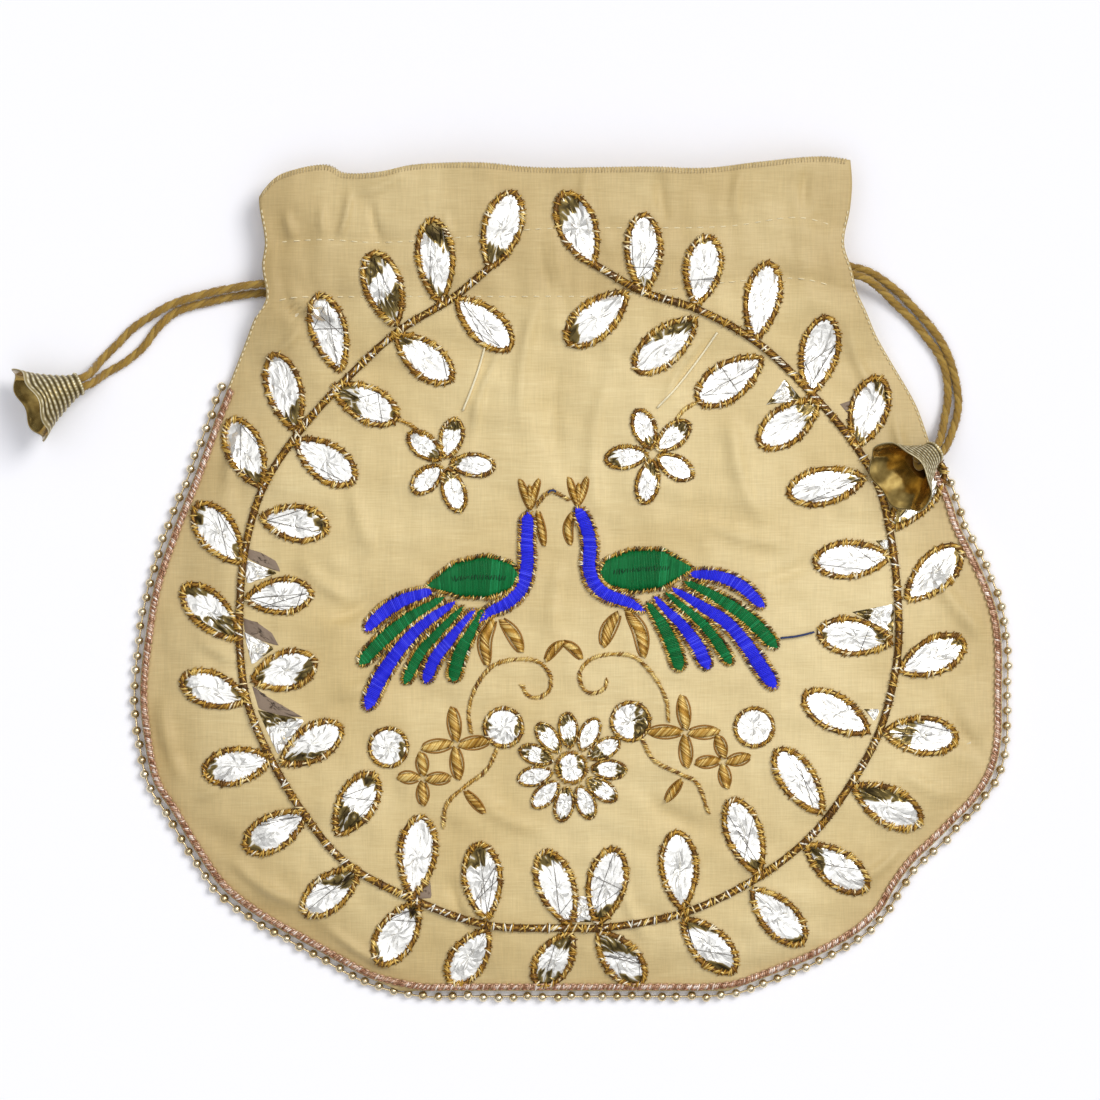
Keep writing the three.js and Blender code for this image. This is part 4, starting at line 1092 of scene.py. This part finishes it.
# Leaves: foot on the vine, then tip
LEAVES_PX = [
    (490, 268, 514, 191), (440, 302, 432, 218), (396, 325, 372, 251), (340, 370, 318, 293),
    (296, 430, 273, 352), (260, 486, 230, 417), (240, 562, 195, 503), (238, 638, 182, 585),
    (245, 700, 179, 679), (270, 759, 201, 773), (305, 814, 243, 850), (358, 869, 302, 915),
    (417, 903, 377, 966), (487, 931, 450, 986), (571, 934, 537, 988), (599, 933, 643, 986),
    (684, 920, 736, 973), (753, 890, 805, 945), (807, 846, 869, 891), (855, 787, 923, 825),
    (885, 732, 960, 739), (901, 671, 967, 641), (908, 599, 962, 546), (893, 527, 944, 461),
    (857, 445, 881, 375), (810, 393, 828, 315), (754, 339, 770, 261), (696, 304, 709, 235),
    (644, 292, 643, 213), (592, 264, 563, 192), (458, 300, 512, 350), (397, 336, 453, 382),
    (334, 387, 399, 420), (297, 441, 356, 482), (262, 518, 330, 528), (247, 599, 314, 593),
    (253, 680, 318, 661), (282, 762, 343, 725), (338, 834, 375, 772), (413, 895, 422, 814),
    (486, 918, 479, 841), (570, 924, 543, 849), (598, 923, 615, 846), (682, 908, 676, 829),
    (758, 873, 731, 797), (821, 812, 776, 748), (868, 731, 802, 694), (891, 641, 816, 632),
    (889, 557, 812, 562), (864, 478, 786, 494), (818, 402, 758, 446), (761, 359, 696, 403),
    (695, 320, 634, 372), (626, 294, 566, 345),
]
# Torn bits of foil left beside the vine
FOIL_BITS_PX = [
    [(245, 559), (278, 573), (247, 584)], [(244, 632), (275, 648), (252, 665)],
    [(258, 710), (305, 720), (278, 755)], [(852, 612), (894, 604), (893, 633)],
    [(876, 541), (889, 539), (888, 552)], [(864, 709), (880, 709), (875, 722)],
    [(575, 896), (591, 896), (591, 922), (575, 922)], [(766, 405), (785, 379), (802, 400)],
]
# Bared backing beside the torn foil
FILM_BITS_PX = [
    [(246, 548), (262, 553), (276, 561), (281, 572), (262, 566), (247, 558)],
    [(243, 618), (258, 623), (272, 633), (279, 646), (262, 641), (245, 632)],
    [(252, 686), (263, 694), (280, 704), (303, 717), (280, 716), (259, 709)],
    [(840, 404), (858, 398), (868, 408), (850, 416)], [(413, 882), (430, 880), (432, 898), (416, 899)],
]
PETAL_WIDTH_PX = 27
LEFT_BLOSSOM_PX = [(445, 463), (408, 432), (457, 417), (497, 467), (461, 514), (412, 493)]
RIGHT_BLOSSOM_PX = [(653, 454), (637, 408), (690, 421), (694, 478), (643, 506), (603, 460)]
MIRRORS_PX = {
    "left_outer_mirror": (388.7, 747), "left_inner_mirror": (503.6, 727), "right_inner_mirror": (630.4, 721),
    "right_outer_mirror": (754, 727),
}
MIRROR_RING_PX = 19
DAISY_PX = (571.5, 767)
DAISY_RING_PX = 15
DAISY_PETALS = 11
# Peacocks: satin strips with thread (0 blue, 1 green), centre line and widths
LEFT_PEACOCK_PX = [
    (1, [(427, 586), (455, 580), (484, 577), (518, 576)], [4, 36, 44, 24]),
    (0, [(528, 513), (527, 543), (527, 566), (521, 589), (507, 603), (489, 612), (480, 622)],
     [15, 15, 16, 16, 15, 13, 9]),
    (0, [(432, 591), (406, 599), (383, 613), (366, 630)], [11, 15, 16, 12]),
    (1, [(444, 597), (411, 617), (386, 637), (360, 664)], [8, 14, 16, 14]),
    (0, [(455, 602), (420, 627), (396, 654), (380, 679), (367, 709)], [8, 14, 15, 17, 16]),
    (1, [(463, 607), (440, 631), (421, 652), (405, 683)], [7, 11, 13, 12]),
    (0, [(475, 610), (453, 636), (436, 657), (425, 682)], [8, 13, 15, 14]),
    (1, [(483, 609), (469, 634), (459, 656), (453, 681)], [8, 14, 16, 15]),
]
RIGHT_PEACOCK_PX = [
    (1, [(601, 572), (628, 571), (657, 569), (693, 568)], [24, 44, 40, 4]),
    (0, [(577, 508), (586, 526), (590, 546), (589, 566), (594, 583), (608, 595), (626, 601), (644, 611)],
     [14, 15, 16, 16, 16, 15, 13, 9]),
    (0, [(690, 574), (717, 576), (741, 586), (763, 607)], [10, 14, 15, 12]),
    (1, [(684, 582), (701, 589), (726, 603), (751, 621), (776, 647)], [8, 12, 15, 16, 14]),
    (0, [(672, 588), (701, 606), (726, 622), (744, 642), (759, 664), (775, 688)], [8, 13, 15, 16, 17, 16]),
    (1, [(666, 593), (681, 605), (701, 622), (717, 642), (731, 664)], [7, 10, 12, 13, 12]),
    (0, [(655, 597), (663, 607), (679, 622), (696, 644), (708, 668)], [8, 11, 14, 16, 15]),
    (1, [(648, 603), (663, 626), (673, 647), (680, 670)], [8, 14, 16, 15]),
]
# Padded gold leaves and strokes: two or more points, greatest width
GOLD_STROKES_PX = [
    ([(530, 509), (525, 494), (520, 480)], 7), ([(530, 508), (530, 486)], 6),
    ([(531, 508), (534, 494), (539, 480)], 7), ([(577, 505), (573, 492), (569, 478)], 7),
    ([(578, 504), (579, 484)], 6), ([(579, 504), (583, 491), (587, 478)], 7),
    ([(538, 512), (541, 528), (544, 545)], 8), ([(572, 514), (568, 528), (570, 544)], 9),
    ([(494, 620), (485, 640), (487, 664)], 13), ([(502, 620), (513, 634), (521, 651)], 13),
    ([(628, 611), (640, 632), (643, 656)], 14), ([(618, 614), (608, 630), (603, 645)], 14),
    ([(546, 660), (554, 649), (563, 642)], 9), ([(563, 642), (573, 648), (581, 658)], 9),
    ([(456, 740), (453, 708)], 13), ([(460, 744), (489, 741)], 13), ([(456, 748), (458, 778)], 13),
    ([(452, 744), (423, 747)], 13), ([(423, 774), (422, 753)], 12), ([(427, 778), (450, 778)], 12),
    ([(423, 782), (423, 804)], 12), ([(419, 778), (399, 776)], 12),
    ([(685, 728), (682, 696)], 13), ([(689, 732), (718, 732)], 13), ([(685, 736), (686, 766)], 13),
    ([(681, 732), (649, 731)], 13), ([(723, 757), (718, 736)], 12), ([(727, 761), (749, 757)], 12),
    ([(723, 765), (726, 787)], 12), ([(719, 761), (696, 762)], 12),
    ([(466, 791), (484, 812)], 9), ([(681, 780), (666, 800)], 9),
]
COUCHED_LINES_PX = [
    [(471, 732), (469, 710), (477, 685), (494, 665), (519, 659), (539, 662), (550, 675), (549, 690),
     (539, 697), (528, 695), (522, 685)],
    [(668, 720), (666, 700), (653, 675), (634, 657), (611, 654), (591, 659), (580, 672), (583, 688),
     (593, 693), (604, 688), (607, 680)],
    [(497, 749), (487, 769), (464, 787), (447, 804), (443, 826)],
    [(642, 739), (653, 759), (681, 774), (696, 782), (708, 812)],
    [(399, 420), (412, 426), (422, 436)], [(696, 403), (684, 410), (676, 420)],
    [(537, 505), (545, 495), (552, 491)], [(552, 491), (560, 495), (569, 500)],
]
LOOSE_THREADS_PX = [
    [(485, 348), (478, 372), (470, 394), (463, 411)], [(717, 333), (698, 360), (676, 388), (657, 408)],
]
BODY_SPLITS_PX = [[(453, 579), (478, 577), (505, 578)], [(614, 572), (642, 569), (668, 568)]]
NAVY_THREADS_PX = [[(780, 638), (797, 636), (814, 632)], [(548, 493), (552, 490), (556, 492)]]


def leaf_outline(foot, tip, width, fullness=1.25, blunt=0.52):
    """Closed plan outline, pointed at the foot and rounded at the tip."""
    t = 0.5 - 0.5 * np.cos(np.linspace(0, math.pi, 15))[:, None]
    shape = np.clip(np.sin(math.pi * t**fullness), 0, 1) ** blunt
    along = tip - foot
    left = np.array([-along[1], along[0]]) / np.linalg.norm(along)
    one = foot + along * t + left * width / 2 * shape
    other = foot + along * t - left * width / 2 * shape
    return np.concatenate([one, other[-2:0:-1]])


def ring_outline(centre, radius, count=30):
    turn = np.linspace(0, 2 * math.pi, count, endpoint=False)[:, None]
    return centre + radius * np.concatenate([np.cos(turn), np.sin(turn)], 1)


def closed_line(outline, step):
    return resampled(np.concatenate([outline, outline[:1]]), step)[:-1]


# Rope borders, their dark cores of painted shade, and the inset of a leaf's foil from its outer width and tip
ROPE_SPACING = 0.5
ROPE_LIFT = 0.5
CORE_SPACING = 0.9
CORE_LIFT = 0.35
LEAF_WIDTH_INSET = 1.9
LEAF_TIP_INSET = 0.7
# Width and thread radius of each rope border, then width of the dark core of painted shade under it
LEAF_ROPE = (2.25, 0.29)
LEAF_CORE = 1.5
BLOSSOM_ROPE = (1.5, 0.24)
BLOSSOM_CORE = 1.1
PETAL_WIDTH_INSET = 1.4
DAISY_ROPE = (1.1, 0.2)
DAISY_CORE = 0.8
DAISY_DISC_ROPE = (1.4, 0.24)
# Daisy petals: distance of foot and tip from the centre, width, and turn of the first petal
DAISY_FOOT = 5.2
DAISY_TIP = 14.2
DAISY_PETAL_WIDTH = 4.7
DAISY_TURN = math.radians(95)
# Spacing of the points round a torn bit, and the share of leaves with fold lines in their foil
BIT_SPACING = 1.2
FOLDED_LEAVES = 0.6
# The vine: a dark core of painted shade, then the stitches over it, whose brightest tones are painted glints
VINE_CORE = {"width": 2.2, "lift": 0.5}
VINE_STITCH = {
    "width": 2.5, "radius": 0.27, "lift": 0.85, "slant": 0.8, "tones": (0.05, 1.08), "unruly": 0.8,
}
PEACOCK_OUTLINE = {
    "width": 1.45, "radius": 0.25, "lift": 0.55, "slant": 1.0, "closed": True, "tones": (0, 0.95),
    "unruly": 0.4,
}
COUCHED_STITCH = {"width": 1.6, "radius": 0.25, "lift": 0.25, "slant": 0.75}
SPLIT_STITCH = {"width": 1.5, "radius": 0.16, "lift": 0.95, "slant": 1.3, "unruly": 0.3}


def foil_tones(plan, outline, rng):
    """Dark reflections at one or both ends of a foil patch, white elsewhere."""
    foot = outline[0]
    tip = outline[np.argmax(np.linalg.norm(outline - foot, axis=1))]
    share = (plan - foot) @ (tip - foot) / np.dot(tip - foot, tip - foot)
    sideways = (plan - foot) @ np.array([foot[1] - tip[1], tip[0] - foot[0]])
    slanting = share + rng.normal(0, 0.2) * sideways / 90
    dark_tip = slanting > rng.choice([0.7, 0.82, 0.9, 1.2, 1.2])
    dark_foot = slanting < rng.choice([0.42, 0.3, 0.2, -0.2, -0.2, -0.2])
    shade = rng.choice([0.0, 0.08, 0.3], len(plan))
    return np.where(dark_tip | dark_foot, shade, np.where(rng.random(len(plan)) < 0.03, 0.25, 0.6))


def foil_patch(stitching, outline, rng, lift=0.4, crumple=0.085):
    """Crumpled foil that fills an outline, as rings of small facets."""
    centre = outline.mean(0)
    scales = np.array([1, 0.85, 0.68, 0.5, 0.33, 0.16])
    rings = centre + (outline - centre)[None] * scales[:, None, None]
    rings[1:] += rng.normal(0, 0.16, rings[1:].shape)
    count = len(outline)
    plan = np.concatenate([rings.reshape(-1, 2), centre[None]])
    rise = rng.normal(0, crumple, len(plan))
    rise[:count] = -0.15
    index = np.arange(len(scales) * count).reshape(len(scales), count)
    a, c = index[:-1], index[1:]
    b, d = np.roll(a, -1, 1), np.roll(c, -1, 1)
    halves = [np.stack([a, b, d], -1).reshape(-1, 3), np.stack([a, d, c], -1).reshape(-1, 3)]
    last = index[-1]
    fan = np.stack([last, np.roll(last, -1), np.full(count, len(plan) - 1)], -1)
    faces = np.concatenate([*halves, fan])
    area = np.cross(outline, np.roll(outline, -1, 0)).sum()
    upward = faces if area > 0 else faces[:, ::-1]
    stitching.add(on_front(plan, lift + rise), upward, foil_tones(plan, outline, rng))


def rope_border(stitching, outline, rng, width, radius):
    """Couched gold rope round a foil patch."""
    # The brightest tones are painted glints
    look = {"slant": 0.85, "closed": True, "tones": (0.12, 0.96), "unruly": 0.5}
    slanted_stitches(stitching, closed_line(outline, ROPE_SPACING), rng, width, radius, ROPE_LIFT, **look)


def dark_core(stitching, line, width, lift):
    """Dark tube under a row of stitches: painted shade that shows in the gaps between them."""
    stitching.tubes(on_front(line, lift)[None], width / 2, 6, 0.12, flat=0.35)


def dark_ring(stitching, outline, width):
    dark_core(stitching, closed_line(outline, CORE_SPACING), width, CORE_LIFT)


def crease_threads(stitching, outline, rng):
    """Thin dark fold lines across a foil patch."""
    middle = outline.mean(0)
    inner = middle + (outline - middle) * 0.86
    spots = rng.integers(0, len(inner), rng.integers(3, 7))
    for start, end in zip(spots[:-1], spots[1:]):
        share = np.linspace(0, 1, 6)[:, None]
        stitching.tubes(on_front(inner[start] * (1 - share) + inner[end] * share, 0.62)[None], 0.075, 3, 0.0)


def add_wreath():
    rng = np.random.default_rng(SEED + 10)
    foil, border, vine = Stitching(), Stitching(), Stitching()
    for foot_x, foot_y, tip_x, tip_y in LEAVES_PX:
        foot, tip = on_bag([(foot_x, foot_y), (tip_x, tip_y)])
        inward = (foot - tip) / np.linalg.norm(foot - tip)
        width = (LEAF_WIDTH_PX * MM_PER_PX - LEAF_WIDTH_INSET) * rng.uniform(0.95, 1.05)
        outline = leaf_outline(foot, tip + inward * LEAF_TIP_INSET, width)
        foil_patch(foil, outline, rng)
        rope_border(border, outline, rng, *LEAF_ROPE)
        dark_ring(vine, outline, LEAF_CORE)
        if rng.random() < FOLDED_LEAVES:
            crease_threads(vine, outline, rng)
    for corners in FOIL_BITS_PX:
        foil_patch(foil, closed_line(on_bag(corners), BIT_SPACING), rng, 0.3, 0.15)
    film = Stitching()
    for corners in FILM_BITS_PX:
        foil_patch(film, closed_line(on_bag(corners), BIT_SPACING), rng, 0.22, 0.02)
    placed(film.build("bared_backing", [BACKING]), "foil")
    line = smooth(on_bag(VINE_PX), 0.5)
    dark_core(vine, line, **VINE_CORE)
    slanted_stitches(vine, line, rng, **VINE_STITCH)
    placed(foil.build("wreath_foil", [FOIL], False), "foil")
    placed(border.build("wreath_border", [ANTIQUE_GOLD]), "gold_thread", "leaf_wreath")
    placed(vine.build("wreath_vine", [ANTIQUE_GOLD]), "gold_thread")


def add_blossom(word, pixels):
    rng = np.random.default_rng(SEED + 20)
    foil, border = Stitching(), Stitching()
    centre, *tips = on_bag(pixels)
    for tip in tips:
        foot = centre + (tip - centre) * 0.12
        width = PETAL_WIDTH_PX * MM_PER_PX - PETAL_WIDTH_INSET
        outline = leaf_outline(foot, tip + (foot - tip) * 0.06, width, 1.2, 0.5)
        foil_patch(foil, outline, rng)
        dark_ring(border, outline, BLOSSOM_CORE)
        rope_border(border, outline, rng, *BLOSSOM_ROPE)
    placed(foil.build(word + "_blossom_foil", [FOIL], False), "foil", word + "_blossom")
    placed(border.build(word + "_blossom_border", [ANTIQUE_GOLD]), "gold_thread")


def add_daisy():
    rng = np.random.default_rng(SEED + 30)
    foil, border = Stitching(), Stitching()
    centre = on_bag(DAISY_PX)
    for petal in range(DAISY_PETALS):
        angle = DAISY_TURN + 2 * math.pi * petal / DAISY_PETALS
        spoke = np.array([math.cos(angle), math.sin(angle)])
        foot, tip = centre + spoke * DAISY_FOOT, centre + spoke * DAISY_TIP
        outline = leaf_outline(foot, tip, DAISY_PETAL_WIDTH, 1.15, 0.5)
        foil_patch(foil, outline, rng)
        dark_ring(border, outline, DAISY_CORE)
        rope_border(border, outline, rng, *DAISY_ROPE)
    disc = ring_outline(centre, DAISY_RING_PX * MM_PER_PX)
    foil_patch(foil, disc, rng)
    rope_border(border, disc, rng, *DAISY_DISC_ROPE)
    placed(foil.build("daisy_foil", [FOIL], False), "foil", "centre_daisy")
    placed(border.build("daisy_border", [ANTIQUE_GOLD]), "gold_thread")


def add_mirrors():
    rng = np.random.default_rng(SEED + 40)
    border = Stitching()
    for name, pixel in MIRRORS_PX.items():
        ring = ring_outline(on_bag(pixel), MIRROR_RING_PX * MM_PER_PX)
        foil = Stitching()
        foil_patch(foil, ring, rng, 0.4, 0.1)
        placed(foil.build(name + "_foil", [FOIL], False), "foil", name)
        dark_ring(border, ring, BLOSSOM_CORE)
        rope_border(border, ring, rng, *BLOSSOM_ROPE)
    placed(border.build("mirror_rings", [ANTIQUE_GOLD]), "gold_thread")


# Shares of a satin strip's length over which its start and its end are rounded
STRIP_START = 0.07
STRIP_END = 0.1


def strip_widths(widths, count):
    """Width along a strip, rounded off at both ends."""
    share = np.linspace(0, 1, count)
    width = np.interp(share, np.linspace(0, 1, len(widths)), widths)
    start = np.sqrt(np.clip(1 - ((STRIP_START - share) / STRIP_START).clip(0, 1) ** 2, 0.15, 1))
    end = np.sqrt(np.clip(1 - ((share - 1 + STRIP_END) / STRIP_END).clip(0, 1) ** 2, 0.1, 1))
    return width * start * end


def add_peacock(word, strips):
    rng = np.random.default_rng(SEED + 50)
    satin, outline = Stitching(), Stitching()
    for thread, pixels, widths in strips:
        line = smooth(on_bag(pixels), 0.4)
        width = strip_widths(np.array(widths) * MM_PER_PX, len(line))
        satin_strip(satin, line, width, rng, slant=0.12, material=thread, crown=0.7)
        rim = closed_line(rim_of(line, width), 0.62)
        slanted_stitches(outline, rim, rng, **PEACOCK_OUTLINE)
    threads = [BLUE_SATIN, GREEN_SATIN]
    placed(satin.build(word + "_peacock_satin", threads), "satin_thread", word + "_peacock")
    placed(outline.build(word + "_peacock_outline", [ANTIQUE_GOLD]), "gold_thread")


def add_gold_work():
    """Scrolls, stems, crosses, crests and feet in gold thread, and the loose ends."""
    rng = np.random.default_rng(SEED + 60)
    gold, loose, navy, split = Stitching(), Stitching(), Stitching(), Stitching()
    for pixels, width in GOLD_STROKES_PX:
        line = smooth(on_bag(pixels), 0.4)
        swelling = np.sin(math.pi * np.linspace(0.08, 0.95, len(line)) ** 1.1) ** 0.55
        full = 1.05 * width * MM_PER_PX * swelling
        satin_strip(gold, line, full, rng, spacing=0.36, slant=0.75, crown=0.6, radius=0.2, tones=(0.1, 0.85))
        # Dark ring round the stroke: painted shade at its edge
        dark_core(gold, closed_line(rim_of(line, full), 0.7), 0.5, 0.1)
    for pixels in COUCHED_LINES_PX:
        slanted_stitches(gold, smooth(on_bag(pixels), 0.6), rng, **COUCHED_STITCH)
    for pixels in LOOSE_THREADS_PX:
        loose.tubes(on_front(smooth(on_bag(pixels), 0.8), 0.35)[None], 0.32, 5, 0.9)
    for pixels in NAVY_THREADS_PX:
        navy.tubes(on_front(smooth(on_bag(pixels), 0.8), 0.9)[None], 0.3, 5, 0.5)
    for pixels in BODY_SPLITS_PX:
        slanted_stitches(split, smooth(on_bag(pixels), 0.7), rng, **SPLIT_STITCH)
    placed(split.build("body_splits", [DARK_GREEN]), "satin_thread")
    placed(gold.build("gold_scrolls", [SCROLL_GOLD]), "gold_thread")
    placed(loose.build("loose_threads", [CREAM_THREAD]), "silk")
    placed(navy.build("navy_threads", [NAVY_THREAD]), "satin_thread")


# Lights, floor and the clean white surroundings
KEY_STRENGTH = 1.5
KEY_SPREAD = math.radians(28)
KEY_COLOUR = (1.0, 0.985, 0.96)
KEY_DIRECTION = (-0.75, -0.55, -1.2)
# Brightness of the sky from the nadir at 0 to the zenith at 1
SKY_STOPS = [(0.50, 0.16), (0.70, 0.22), (0.88, 0.62), (0.95, 1.25)]
SKY_TINT = (0.975, 0.985, 1.02)
FLOOR_REACH = 6000
FLOOR_HEIGHT = -0.05


def add_world():
    world = bpy.data.worlds.new("studio")
    world.use_nodes = True
    bpy.context.scene.world = world
    tree = world.node_tree
    place = tree.nodes.new("ShaderNodeTexCoord")
    split = tree.nodes.new("ShaderNodeSeparateXYZ")
    lift = tree.nodes.new("ShaderNodeMapRange")
    lift.inputs["From Min"].default_value = -1.0
    shades = tree.nodes.new("ShaderNodeValToRGB")
    stops = [(spot, [value * tint for tint in SKY_TINT]) for spot, value in SKY_STOPS]
    set_stops(shades.color_ramp.elements, stops)
    tree.links.new(place.outputs["Generated"], split.inputs["Vector"])
    tree.links.new(split.outputs["Z"], lift.inputs["Value"])
    tree.links.new(lift.outputs["Result"], shades.inputs["Fac"])
    tree.links.new(shades.outputs["Color"], tree.nodes["Background"].inputs["Color"])


def add_key_light():
    data = bpy.data.lights.new("key", "SUN")
    data.energy = KEY_STRENGTH
    data.angle = KEY_SPREAD
    data.color = KEY_COLOUR
    key = bpy.data.objects.new("key", data)
    key.rotation_euler = Vector(KEY_DIRECTION).to_track_quat("-Z", "Y").to_euler()
    bpy.context.scene.collection.objects.link(key)


def add_floor():
    signs = ((-1, -1), (1, -1), (1, 1), (-1, 1))
    corners = [(FLOOR_REACH * x, FLOOR_REACH * y, FLOOR_HEIGHT) for x, y in signs]
    material = new_material("white_table", linear(250, 250, 254), 0.9, Specular_IOR_Level=0.0)
    floor = new_object("floor", np.array(corners, float), [(0, 1, 2, 3)], [material])


add_cloth()
add_casing_stitches()
add_edging()
add_drawcord("left", -1, LEFT_BELL, LEFT_FRONT_END, LEFT_BACK_END)
add_drawcord("right", 1, RIGHT_BELL, RIGHT_FRONT_END, RIGHT_BACK_END)
add_wreath()
add_blossom("left", LEFT_BLOSSOM_PX)
add_blossom("right", RIGHT_BLOSSOM_PX)
add_daisy()
add_mirrors()
add_peacock("left", LEFT_PEACOCK_PX)
add_peacock("right", RIGHT_PEACOCK_PX)
add_gold_work()
add_world()
add_key_light()
add_floor()
bpy.context.scene.view_settings.view_transform = "Standard"
